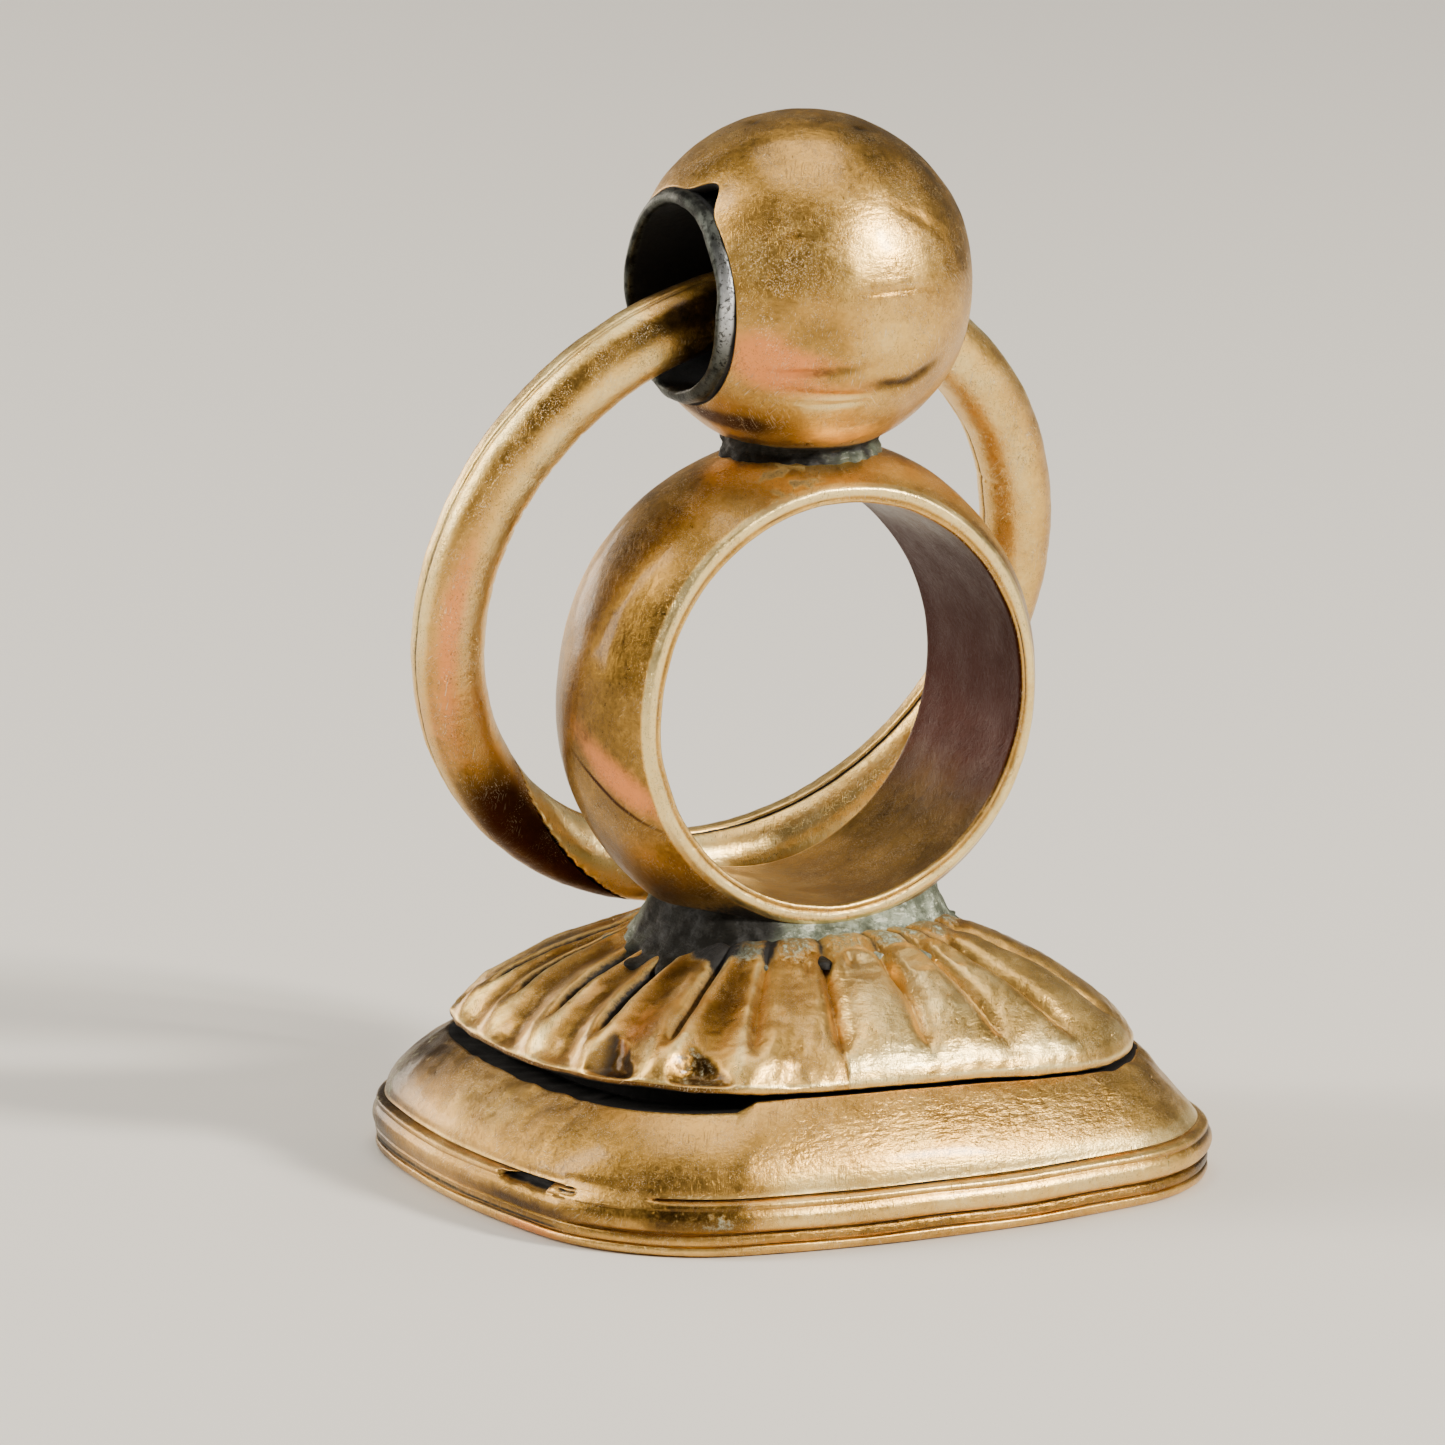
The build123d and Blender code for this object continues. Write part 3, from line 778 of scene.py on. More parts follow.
# %% Dome section
top_inset = 4.75
top_half_y = 3.30
lip_corner, top_corner = 4.25, 2.20
lip_under = 3.70
dome_section = np.array([
    # inset from the lip, height, relief share, care
    (6.60, 6.78, 0.00, 0.2),
    (4.75, 6.75, 0.40, 0.6),
    (3.90, 6.40, 1.00, 1.0),
    (3.09, 6.04, 1.00, 1.0),
    (2.45, 5.76, 1.00, 1.0),
    (1.90, 5.49, 1.00, 1.0),
    (1.40, 5.22, 1.00, 1.0),
    (0.95, 4.94, 1.00, 1.0),
    (0.62, 4.69, 1.00, 1.0),
    (0.38, 4.46, 1.00, 1.0),
    (0.17, 4.20, 0.80, 1.0),
    (0.05, 4.00, 0.30, 1.0),
    (0.00, 3.90, 0.00, 1.0),
    (0.01, 3.76, 0.00, 1.0),
    (0.10, lip_under, 0.00, 0.6),
    (1.27, lip_under, 0.00, 0.1),
    (1.27, 2.70, 0.00, 0.1),
    (1.77, 2.70, 0.00, 0.1),
    (1.77, 4.10, 0.00, 0.1),
    (2.90, 5.10, 0.00, 0.1),
    (6.60, 5.70, 0.00, 0.1),
])
dome_rows = rows_of(rounded(dome_section, softness=0.030), 104)
dome_turn, dome_degrees = circle(940)
lip_inset, dome_z, relief_share = (column[:, None] for column in dome_rows.T[:3])
climb = lip_inset / top_inset
plan_x = lip_half_x - lip_inset
plan_y = lip_half_y - climb * (lip_half_y - top_half_y)
outer_side = lip_inset < top_inset
dome_corner = lip_corner - (lip_corner - top_corner) * np.clip(climb, 0, 1.2)
dome_reach = cushion_reach(plan_x, plan_y, cushion_bulge * plan_y / foot_half_y, dome_corner, dome_turn)
dome_plain = ring_of_points(dome_reach, dome_z, dome_turn)
dome_out = surface_normals(dome_plain)
dome_out *= np.sign(dome_out[20, 0, 2])
print("dome rows", dome_rows.shape, "furthest reach", round(float(dome_reach.max()), 2), "mm")

# %% [markdown]
# Every point has to know which flute it lies in and how far across it. Its direction is first turned
# back to the lip, along the spread of the grooves, and then looked up in the chart. The phase runs from
# 0 at one groove to 1 at the next.

# %% Place in the flutes
lip_direction = flutes[:, 0]
spread = flutes[:, 1] - flutes[:, 0]
turned_back = dome_degrees - climb * np.interp(dome_degrees, lip_direction, spread, period=360)
turned_back = dome_degrees - climb * np.interp(turned_back, lip_direction, spread, period=360)
past = (turned_back - lip_direction[0]) % 360
number = np.searchsorted(lip_direction - lip_direction[0], past, side="right") - 1
following = (number + 1) % len(flutes)
flute_width = (lip_direction[following] - lip_direction[number]) % 360
phase = (past - (lip_direction[number] - lip_direction[0])) / flute_width
width_mm = np.radians(flute_width) * dome_reach
nearest = np.where(phase < 0.5, number, following)
from_groove = np.where(phase < 0.5, phase, phase - 1) * width_mm
groove_depth, darkness = flutes[nearest, 2], flutes[nearest, 3]
scoop, pit_width = flutes[number, 4], flutes[number, 5]
hollow = np.clip(scoop, 0, 1) / 0.25
lobe = np.clip(-scoop, 0, 1) / 0.13
print("flute widths", float(flute_width.min()), "to", float(flute_width.max()), "degrees")

# %% [markdown]
# The relief is pressed in along the surface's own normals, so it stands square to the slope. A groove
# is a narrow notch that opens a little above the lip. A hollow flute is scooped between its grooves,
# and a lobe is raised and ends in a round shoulder at the solder.

# %% Flute relief
wander = lumps(dome_plain, 1.4, seed=21)
groove_start = 0.05 + 0.09 * darkness
opened = ease(climb + 0.012 * wander, groove_start - 0.03, groove_start + 0.17)
groove_half = 0.16 + 0.02 * (1 - darkness) + 0.12 * (1 - climb) * (1 - darkness)
groove = np.exp(-np.abs(from_groove / groove_half) ** 1.4) * opened
across = np.sin(np.pi * np.clip(phase, 0, 1))
scooped = across**1.6 * (0.65 + 0.50 * (1 - climb))
shoulder = 0.90 - 0.16 * np.abs(2 * phase - 1) ** 2.5
risen = 1 - ease(climb, shoulder - 0.03, shoulder + 0.03)
round_lobe = (1 - np.abs(2 * phase - 1) ** 2.2) * (0.35 + 0.65 * ease(climb, 0.05, 0.35))
relief = -1.3 * groove_depth * groove - 1.35 * np.clip(scoop, 0, 1) * scooped
relief = relief + np.clip(-scoop, 0, 1) * round_lobe * (risen - 0.2) + 0.05 * lobe * risen
print("deepest groove", round(float(relief.min()), 2), "mm")

# %% [markdown]
# A pit is a flat-floored arch at the lip, a little left of the middle of its flute and lower than the
# flute above it. A few small dents lie near the solder. The lobes are kept low where the ring comes to
# rest on them when it is swung over to the front.

# %% Pits and dents
big_pit = pit_width > 0.8
pit_height = 0.36 + 0.42 * pit_width
above_lip = np.clip((dome_z - 3.95) / pit_height, 0, 1.6)
beside = np.abs((phase - 0.44) * width_mm + 0.25 * above_lip * pit_width)
beside = beside / np.maximum(0.55 * pit_width, 0.01)
pit_edge = 1 - beside**1.7 - above_lip**1.5 + 0.12 * wander
has_pit = (pit_width > 0.1) * outer_side
pit = ease(pit_edge, -0.10, 0.75) * ease(dome_z, 3.86, 4.00) * has_pit
pit_area = ease(pit_edge, -0.04, 0.16) * ease(dome_z, 3.92, 3.99) * has_pit
dents = sum(
    depth * toward(dome_degrees, turn, width) * spot(lip_inset, middle, length)
    for turn, middle, width, length, depth in (
        # direction, inset from the lip, width in degrees, length, depth
        (-84.0, 3.20, 1.7, 0.32, 0.26),
        (-97.5, 3.85, 1.5, 0.22, 0.15),
        (-113.0, 3.75, 1.2, 0.20, 0.10),
        (62.0, 3.40, 2.0, 0.30, 0.15),
    )
)
relief = np.minimum(relief_share * relief, 0.17 - 0.07 * between(climb, 0.62, 0.80, 0.10))
relief = relief - 0.26 * ease(pit_width, 0.4, 1.6) * pit - dents * relief_share
print("relief from", round(float(relief.min()), 2), "to", round(float(relief.max()), 2), "mm")

# %% [markdown]
# The seen rows get a fine unevenness over the relief. Last, the seam chart lifts or sinks the lip, and
# the whole slope leans up towards the left.

# %% Dome grid
left_rise = 0.18
seen = (dome_rows[:, 3:4] > 0.3) * (dome_z > lip_under + 0.02)
fine_relief = 0.010 * wander + 0.016 * lumps(dome_plain, 4.0, seed=22)
fine_relief = fine_relief + 0.004 * lumps(dome_plain, 0.45, seed=23)
dome_points = dome_plain + (relief + seen * fine_relief)[..., None] * dome_out
lip_lift = by_direction(seam, 1, dome_degrees) - lip_under
lean_left = -left_rise * dome_points[..., 0] / lip_half_x * (1 - np.clip(climb, 0, 1))
near_lip = 1 - ease(climb, 0.0, 0.50)
raised = (near_lip * lip_lift + (1 - near_lip) * lean_left) * (dome_z > 3.4) * outer_side
dome_points[..., 2] += raised
print("dome grid", dome_points.shape, "raised by up to", round(float(raised.max()), 2), "mm")

# %% [markdown]
# On the dome the crests carry painted highlights, as do the lobes' shoulders and the lip's edge, while the
# far flank of every dark groove carries a long painted shadow. Painted shade also fills the big pits, the
# gap under the lip and the left side next to the solder. The scoops are brown along their middle. The pits
# hold a grey-green film, and the same film has run down from the solder.

# %% Dome marks
on_dome = relief_share * outer_side
near_collar = ease(climb + 0.02 * wander, 0.78, 0.95)
dome_cloud = lumps(dome_points, 3.0, seed=24)
# Painted shadow along the far flank of each dark groove
before_groove, after_groove = np.clip(-from_groove, 0, 9), np.clip(from_groove, 0, 9)
shadow_side = np.exp(-((before_groove / 0.26) ** 2) - (after_groove / 0.13) ** 2)
shadow = shadow_side * opened * (darkness > 0.85) * ease(climb, 0.08, 0.22)
# Painted highlights on the crests, the lobes' shoulders, the lip's edge and one glint
left_crest = spot(phase, 0.16, 0.07) * hollow
right_crest = spot(phase, 0.84, 0.06) * hollow
streak = spot(phase + 0.03 * wander, 0.46, 0.13) * hollow * (1 - pit)
shoulder_highlight = spot(dome_z, 4.32, 0.20) * lobe
v_ends = spot(dome_z, 4.42, 0.16) * np.exp(-(np.abs(from_groove) / 0.30) ** 2) * lobe
lip_edge_highlight = spot(dome_z, 3.94, 0.035) * (lip_inset < 0.3)
# Painted shade under the lip, and on the lip's face at the left
under_lip_shade = (dome_z < lip_under + 0.035) & (lip_inset < 1.9)
lip_face = between(dome_z, 3.74, 3.87, 0.03) * (lip_inset < 0.2) * ease(off(dome_degrees, -128), 6, -6)
# A painted warm reflection in one hollow flute
warm_flute = spot(turned_back, -148, 5) * spot(dome_z, 5.1, 0.45) * hollow
glint = spot(turned_back, -147.5, 2.2) * spot(dome_z, 4.85, 0.16)
crest_highlights = 0.34 * left_crest + 0.26 * right_crest + 0.20 * shoulder_highlight + 0.22 * glint
in_hollow = 0.20 * streak + 0.10 * groove * (1 - hollow)
pale_front = 0.12 * spot(turned_back, -116.5, 7) + 0.19 * lobe + 0.10 * lobe * round_lobe
# Painted shadow in and beside the dark grooves, and painted shade in the pits
groove_shadow = np.maximum(groove * (darkness > 0.85), 0.95 * shadow)
groove_shadow = groove_shadow * (0.95 - 0.30 * spot(turned_back, -142.5, 3))
pit_shade = pit_area * (0.30 * spot(turned_back, -152.5, 3) + 0.26 * (phase < 0.32) * big_pit)
dome_marks = {
    # The tone carries the painted highlights, and painted shade in the big pits
    "tone": 0.58 + 0.025 * dome_cloud + on_dome * (crest_highlights - in_hollow) + pale_front
    - 0.38 * pit_area * big_pit + 0.30 * lip_edge_highlight - 0.08 * near_collar,
    "dirt_and_shade": on_dome * groove_shadow + pit_shade + 1.8 * dents * relief_share
    + (0.12 * climb + 0.55 * near_collar) * groove * (darkness < 0.85)
    # Painted shade at the left next to the solder, under the lip and on the lip's face
    + 0.9 * near_collar * toward(dome_degrees, -155, 18) + 0.95 * under_lip_shade + 0.25 * lip_face,
    "crust": 0.62 * near_collar * (1 - 0.9 * groove)
    + (0.26 + 0.14 * spot(turned_back, -134, 6)) * pit_area * (pit_width > 0.4) + 0.42 * v_ends
    + 0.10 * groove * lobe * ease(climb, 0.5, 0.9),
    "pink_reflection": 0.45 * warm_flute,
    # Painted red-brown shade on the lip's face, and a red-brown streak in one flute
    "red": 0.50 * streak * spot(turned_back, -135, 3.0) * ease(climb, 0.3, 0.6) + 0.7 * lip_face,
    "grain": 0.35 * lobe * on_dome * (1 - near_collar),
}
add_piece("dome", dome_points, worn_gold, "seal", "seal_top", dome_marks)

# %% [markdown]
# The band is a loop of sheet, bowed like a barrel outside and folded over at both rims. A
# section carried round the band's axis gives all of it: the straight bore, a thin inner edge, a fine
# groove, a round rim and the bowed outside.

# %% Band section
belly_rise = belly_radius - rim_radius
bow_half = band_half * 0.955


def band_skin_radius(along):
    """Outer radius of the band at a place along its axis: the rim's, and a bow between the rims."""
    return rim_radius - 0.02 + belly_rise * (1 - np.clip(np.abs(along) / bow_half, 0, 1) ** 2.1)


belly_along = bow_half * np.linspace(-1, 1, 17)
belly = np.column_stack([band_skin_radius(belly_along), belly_along, np.ones(17)])
band_section = np.vstack([
    # radius, place along the axis, care
    [(5.42, 2.20, 0.7), (5.42, 0.00, 0.6), (5.42, -2.20, 0.7), (5.41, -2.50, 1), (5.45, -2.565, 1)],
    [(5.53, -2.575, 1), (5.565, -2.545, 1), (5.60, -2.575, 1), (5.70, -2.60, 1), (5.82, -2.585, 1)],
    belly,
    [(5.82, 2.585, 1), (5.70, 2.60, 1), (5.60, 2.575, 1), (5.565, 2.545, 1)],
    [(5.53, 2.575, 1), (5.45, 2.565, 1), (5.41, 2.50, 1)],
])
band_rows = rows_of(rounded(band_section, softness=0.018), 120, bend=0.08)
band_turn, band_degrees = circle(640)
section_radius, section_y = band_rows[:, :1], band_rows[:, 1:2]
print("band rows", band_rows.shape)

# %% [markdown]
# Stains and dents on the band and the ball are blots: oval bells that can lean. On the band a blot is
# placed by its direction round the axis and its place along it. Many blots make a table, and `add_up`
# lays them all on.

# %% Blots


def blot(across, up, spread_across, spread_up, lean=0.0):
    """An oval bell: 1 in its middle, fading over its two spreads, its long way turned by lean degrees."""
    cosine, sine = math.cos(math.radians(lean)), math.sin(math.radians(lean))
    along = across * cosine + up * sine
    aside = up * cosine - across * sine
    return np.exp(-0.5 * ((along / spread_across) ** 2 + (aside / spread_up) ** 2))


def on_band(turn, along, length, width, lean=0.0):
    """A blot on the band, centred at a turn and a place along the axis, its spreads in mm."""
    around = np.radians(off(band_degrees, turn)) * belly_radius
    return blot(around, section_y - along, length, width, lean)


def add_up(rows, blot_at):
    """Sum of blots. A row holds an amount, and then the place, spreads and lean that blot_at takes."""
    return sum(amount * blot_at(*place) for amount, *place in rows)


print("blot half a spread away:", round(blot(0.5, 0, 1, 1), 3))

# %% [markdown]
# The section is now turned about the band's level axis. Its sheet is a little wavy, has two shallow
# dents outside, and its rims aren't quite straight.

# %% Band grid


def turned_about_y(radius, along, turn, height):
    """Points at a radius from a level axis along Y, at a height, in the direction turn."""
    radius, along, turn = np.broadcast_arrays(radius, along, turn)
    return np.stack([radius * np.cos(turn), along, height + radius * np.sin(turn)], -1)


band_plain = turned_about_y(section_radius, section_y, band_turn, band_height)
skin = ease(section_radius, 5.5, 5.9)
skin_waves = 0.014 * skin * lumps(band_plain, 3.6, seed=31) + 0.004 * lumps(band_plain, 1.1, seed=32)
bore_waves = 0.008 * (1 - skin) * lumps(band_plain, 2.2, seed=33)
band_dents = 0.05 * skin * (on_band(168, 1.2, 1.6, 0.9) + on_band(-160, -0.6, 1.8, 0.5, 22))
band_radius = section_radius + skin_waves + bore_waves - band_dents
rim_waves = 0.005 * lumps(band_plain, 6.0, seed=34) + 0.002 * lumps(band_plain, 1.5, seed=35)
band_points = turned_about_y(band_radius, section_y * (1 + rim_waves), band_turn, band_height)
print("band grid", band_points.shape)

# %% [markdown]
# Outside, the band is brown over its middle, where painted shade darkens the left, with a painted highlight
# along its far edge and at the top, and a painted pink reflection low on the left, next to a yellow stretch
# and a brown curved line. Such patches are rows of a small table. The fold at the rim carries a painted
# highlight, the brightest part of the whole seal, with a fine dark line on its inner side. The bore carries
# painted shade: a dark, smooth red-brown at the right and an olive tan at the bottom. The underside is
# darker.

# %% Band marks
in_bore = 1 - ease(section_radius, 5.43, 5.50)
fold = spot(section_radius, 5.565, 0.014) * (np.abs(section_y) > 2.45)
rim = between(section_radius, 5.60, 5.95, 0.06) * (np.abs(section_y) > 2.3)
bore_edge = spot(section_radius, 5.45, 0.04) * (np.abs(section_y) > 2.45)
outer = skin * (1 - rim)
band_cloud = lumps(band_points, 2.2, seed=36)
band_fine = lumps(band_points, 0.6, seed=37)
speckle = ease(band_fine, 0.6, 1.4) * ease(off(band_degrees, -175) * -1, -40, 30)
# The band is darker on its underside, and the bore at the right carries painted shade
dark_underside = toward(band_degrees, -112, 13) + 0.7 * toward(band_degrees, -80, 20)
bore_shade = toward(band_degrees, 8, 38)
band_blots = {
    # amount, direction, place along the axis, spreads lengthwise and crosswise in mm, lean
    # Most tone blots paint light: darker ones shade the middle of the left, lighter ones a highlight along
    # the far edge and at the top
    "tone": (
        (0.12, 150, 2.20, 3.4, 0.50, 0),
        (-0.20, 160, -0.60, 3.4, 1.30, -10),
        (-0.12, 150, 0.50, 3.0, 0.50, -14),
        (-0.06, 150, -1.20, 3.0, 0.80, 0),
        (0.16, -155, -0.20, 1.8, 0.45, -45),
        (0.14, 95, -1.60, 3.0, 0.60, 0),
        (-0.20, -138, -0.40, 1.6, 1.20, 0),
        (-0.14, -166, 1.70, 2.2, 0.40, 0),
    ),
    # A painted pink reflection low on the left
    "pink_reflection": ((0.95, -164.5, -1.60, 1.5, 0.40, -45), (0.25, -140, -1.50, 1.5, 0.80, 0)),
    "red": ((0.95, -161, -1.05, 1.6, 0.06, -45), (0.55, -134, -0.60, 1.2, 1.30, 0)),
    "crust": ((0.22, 118, 0.80, 0.9, 0.80, 0),),
}
laid = {mark: add_up(rows, on_band) for mark, rows in band_blots.items()}
band_marks = {
    # Painted highlights on the rim, the bore's inner edge and over the top, and painted shade in the bore
    "tone": 0.50 + 0.015 * band_cloud + (0.48 + 0.14 * toward(band_degrees, 0, 45)) * rim
    + 0.40 * bore_edge + outer * (laid["tone"] + 0.16 * toward(band_degrees, 88, 30))
    - in_bore * (0.44 * bore_shade + 0.06 + 0.01 * band_fine - 0.14 * toward(band_degrees, -78, 26)),
    "dirt_and_shade": 0.62 * fold * (0.8 + 0.4 * band_cloud) + 0.30 * speckle * rim + 0.75 * outer * dark_underside
    + 0.55 * outer * toward(band_degrees, 104, 9) * ease(band_fine, -0.6, 1.0)
    + in_bore * (0.08 * bore_shade + 0.12 * toward(band_degrees, 60, 25)),
    "pink_reflection": outer * laid["pink_reflection"],
    # Painted dark red-brown shade in the bore
    "red": outer * laid["red"] + 1.15 * in_bore * bore_shade,
    "crust": outer * (
        laid["crust"] + 0.45 * toward(band_degrees, -64, 12) + 0.24 * toward(band_degrees, 90, 24)
    ),
    "grain": 0.10 * skin,
}
add_piece("band", band_points, worn_gold, "seal", "seal_top", band_marks)

# %% [markdown]
# Where the band stands on the dome, solder was run in all round. It climbs to the band's underside in a
# hollow fillet and thins out over the flutes, with a broken, crusty hem. Its foot is an oval on the
# dome, its top an oval on the band, and its rows run from one to the other. Above it the band's own
# formula says how high the band is.

# %% Solder collar


def band_height_at(x, y):
    """How far the band's skin lies from its axis, up or down, above a point of the plan."""
    return np.sqrt(np.maximum(band_skin_radius(y) ** 2 - np.minimum(np.abs(x), 4.6) ** 2, 0.01))


collar_top_halves = (3.95, 2.42)
collar_foot_halves = (5.05, 3.95)
collar_section = np.array([
    # way out from the top oval to the foot oval, share of the climb, care
    (-0.55, 1.10, 0.1),
    (0.00, 1.04, 0.8),
    (0.10, 0.80, 1.0),
    (0.24, 0.52, 1.0),
    (0.42, 0.30, 1.0),
    (0.66, 0.12, 1.0),
    (0.88, 0.03, 1.0),
    (1.00, -0.03, 1.0),
    (1.02, -0.30, 0.3),
    (-0.55, -0.10, 0.1),
])
collar_rows = rows_of(rounded(collar_section, softness=0.03), 54)
collar_turn, collar_degrees = circle(500)
outward, climbed = collar_rows[:, :1], collar_rows[:, 1:2]
top_oval = oval_reach(*collar_top_halves, collar_turn, power=2.6)
foot_oval = oval_reach(*collar_foot_halves, collar_turn, power=2.2)
collar_reach = top_oval + outward * (foot_oval - top_oval)
hem_height = 6.36 - 0.28 * np.cos(collar_turn) ** 2
meets_band = band_height - band_height_at(top_oval * np.cos(collar_turn), top_oval * np.sin(collar_turn))
collar_z = hem_height + climbed * (meets_band + 0.04 - hem_height)
collar_plain = ring_of_points(collar_reach, collar_z, collar_turn)
print("collar climbs up to", round(float((meets_band - hem_height).max()), 2), "mm")

# %% [markdown]
# The open face of the solder is lumpy and its hem is ragged. It is grey-green nearly all round, painted
# black with shade at the left, and black in the grooves under the front.

# %% Collar grid and marks
open_face = between(outward, 0.06, 1.1, 0.1) * (climbed > -0.1)
collar_lumps = 0.035 * lumps(collar_plain, 1.3, seed=41) + 0.012 * lumps(collar_plain, 0.4, seed=42)
hem = 0.16 * lumps(collar_plain, 0.9, seed=43) * ease(outward, 0.6, 1.0)
collar_points = ring_of_points(
    collar_reach + open_face * collar_lumps + hem,
    collar_z + open_face * 0.025 * lumps(collar_plain, 0.8, seed=44),
    collar_turn,
)
collar_cloud = lumps(collar_points, 1.2, seed=45)
# Painted shade at the left, where the band shades the solder
collar_left_shade = toward(collar_degrees, -160, 24)
collar_marks = {
    "dirt_and_shade": 1.15 * collar_left_shade + 0.14 * ease(climbed, 0.5, 1.0) + 0.06 * collar_cloud
    + 0.25 * toward(collar_degrees, -96, 9) * (outward > 0.5)
    + 1.1 * toward(collar_degrees, -107, 3.5) * (outward > 0.8),
    "tarnish": 0.30 * toward(collar_degrees, 170, 30) * (0.6 + 0.4 * collar_cloud),
}
add_piece("solder_collar", collar_points, solder_crust, "seal", "seal_top", collar_marks)

# %% [markdown]
# The ball has been dropped and knocked. Its old dents are flat facets and thin creases. Each is one row
# of a table: where it lies, as a direction from the ball's middle, and how large and deep it is.

# %% Dents of the ball
ball_flats = (
    # direction round the upright axis, lift above level, depth of the flat, softness
    (-84.0, -14.0, 0.150, 0.018),
    (-112.0, -9.0, 0.095, 0.016),
    (-70.0, 40.0, 0.035, 0.025),
    (-132.0, 30.0, 0.025, 0.025),
    (60.0, 20.0, 0.050, 0.030),
    (140.0, -10.0, 0.040, 0.030),
    (20.0, 60.0, 0.035, 0.030),
)
ball_creases = (
    # direction, lift, spreads lengthwise and crosswise in degrees, lean, depth
    (-104.0, -31.5, 8.0, 0.9, -3.0, 0.060),
    (-102.0, -35.5, 7.0, 0.8, 3.0, 0.045),
    (-113.0, -22.0, 9.0, 1.1, 4.0, 0.060),
    (-84.0, -28.5, 6.0, 1.5, -8.0, 0.090),
    (-70.0, -25.0, 5.0, 1.4, 30.0, 0.070),
    (-86.0, 5.5, 8.0, 0.8, 1.0, 0.030),
    (-68.0, 27.0, 10.0, 1.6, -38.0, 0.035),
    (-121.0, 24.0, 1.0, 0.8, 0.0, 0.060),
    (175.0, 71.0, 1.2, 0.8, 0.0, 0.050),
    (-59.0, 68.0, 1.6, 0.8, 0.0, 0.050),
)


def direction(turn, lift):
    """Unit vector at a turn round the upright axis and a lift above level, in degrees."""
    turn, lift = np.radians(turn), np.radians(lift)
    return np.stack([np.cos(lift) * np.cos(turn), np.cos(lift) * np.sin(turn), np.sin(lift)], -1)


def on_ball(turn, lift, spread_across, spread_up, lean=0.0):
    """A blot on the ball, centred in the direction turn and lift, its spreads in degrees.

    It is worked out for look, the directions of the ball's grid."""
    middle = direction(turn, lift)
    east = direction(turn + 90, 0)
    north = np.cross(middle, east)
    here = blot(np.degrees(look @ east), np.degrees(look @ north), spread_across, spread_up, lean)
    return here * (look @ middle > 0)


print("flats", len(ball_flats), "creases", len(ball_creases))

# %% [markdown]
# The ball is a thin shell with a round hole at each end of the bore. Meridians run from one hole's edge
# to the other. The bore lies a little below the ball's middle, so each meridian starts where its own
# ray meets the hole, and stays on the sphere by construction. At the left hole the edge is torn back
# in one corner. Inside each facet the surface is cut back to a plane, with a soft edge.

# %% Ball
tear_turn, tear_width, tear_depth = 112, 7, 8.0
skin_turn, _ = circle(460)
hole_y = ball_hole_radius * np.cos(skin_turn)
hole_z = bore_height - ball_height + ball_hole_radius * np.sin(skin_turn)
edge_angle = np.arccos(np.hypot(hole_y, hole_z) / ball_radius)
meridian = np.arctan2(hole_z, hole_y)
torn = np.radians(tear_depth) * toward(np.degrees(meridian), tear_turn, tear_width)
outer_share = np.sin(np.linspace(-np.pi / 2, np.pi / 2, 160))
# share of the way from hole to hole, and depth below the ball's surface
ball_rows = np.vstack([
    np.column_stack([outer_share * 0.985, np.zeros(160)]),
    [(0.998, -0.035), (1.006, -0.09), (1.010, -0.20), (1.005, -0.32), (0.97, -0.42)],
    np.column_stack([np.linspace(0.90, -0.90, 12), np.full(12, -0.45)]),
    [(-0.97, -0.42), (-1.005, -0.32), (-1.010, -0.20), (-1.006, -0.09), (-0.998, -0.035)],
])
tilt = ball_rows[:, :1] * np.where(ball_rows[:, :1] < 0, edge_angle - torn, edge_angle)
look = np.stack([np.sin(tilt), np.cos(tilt) * np.cos(meridian), np.cos(tilt) * np.sin(meridian)], -1)
radius = ball_radius + ball_rows[:, 1:]
outer_skin = 1 - ease(-ball_rows[:, 1:], 0.05, 0.25)
for turn, lift, depth, softness in ball_flats:
    facing = look @ direction(turn, lift)
    plane = (ball_radius - depth) / np.maximum(facing, 0.3)
    cut = softness * np.logaddexp(0, (ball_radius - plane) / softness)
    radius = radius - outer_skin * cut * (facing > 0.3)
for turn, lift, length, width, lean, depth in ball_creases:
    radius = radius - outer_skin * depth * on_ball(turn, lift, length, width, lean)
ball_plain = look * ball_radius
ball_waves = 0.008 * lumps(ball_plain, 2.6, seed=51) + 0.0025 * lumps(ball_plain, 0.8, seed=52)
radius = radius + outer_skin * ball_waves
ball_points = look * radius[..., None] + [0, 0, ball_height]
print("ball grid", ball_points.shape)

# %% [markdown]
# The ball's colours are laid on by direction. It is tan above, with a painted highlight at the front right
# and on the facet below it, painted shade over the old dent at the left and in the creases, and a painted
# pink reflection below that, beside the mouth. Under the creases a painted highlight makes the gold a warm
# yellow, and low on the left painted shade makes it dark red-brown. The walls of the holes are painted dark
# as shade.

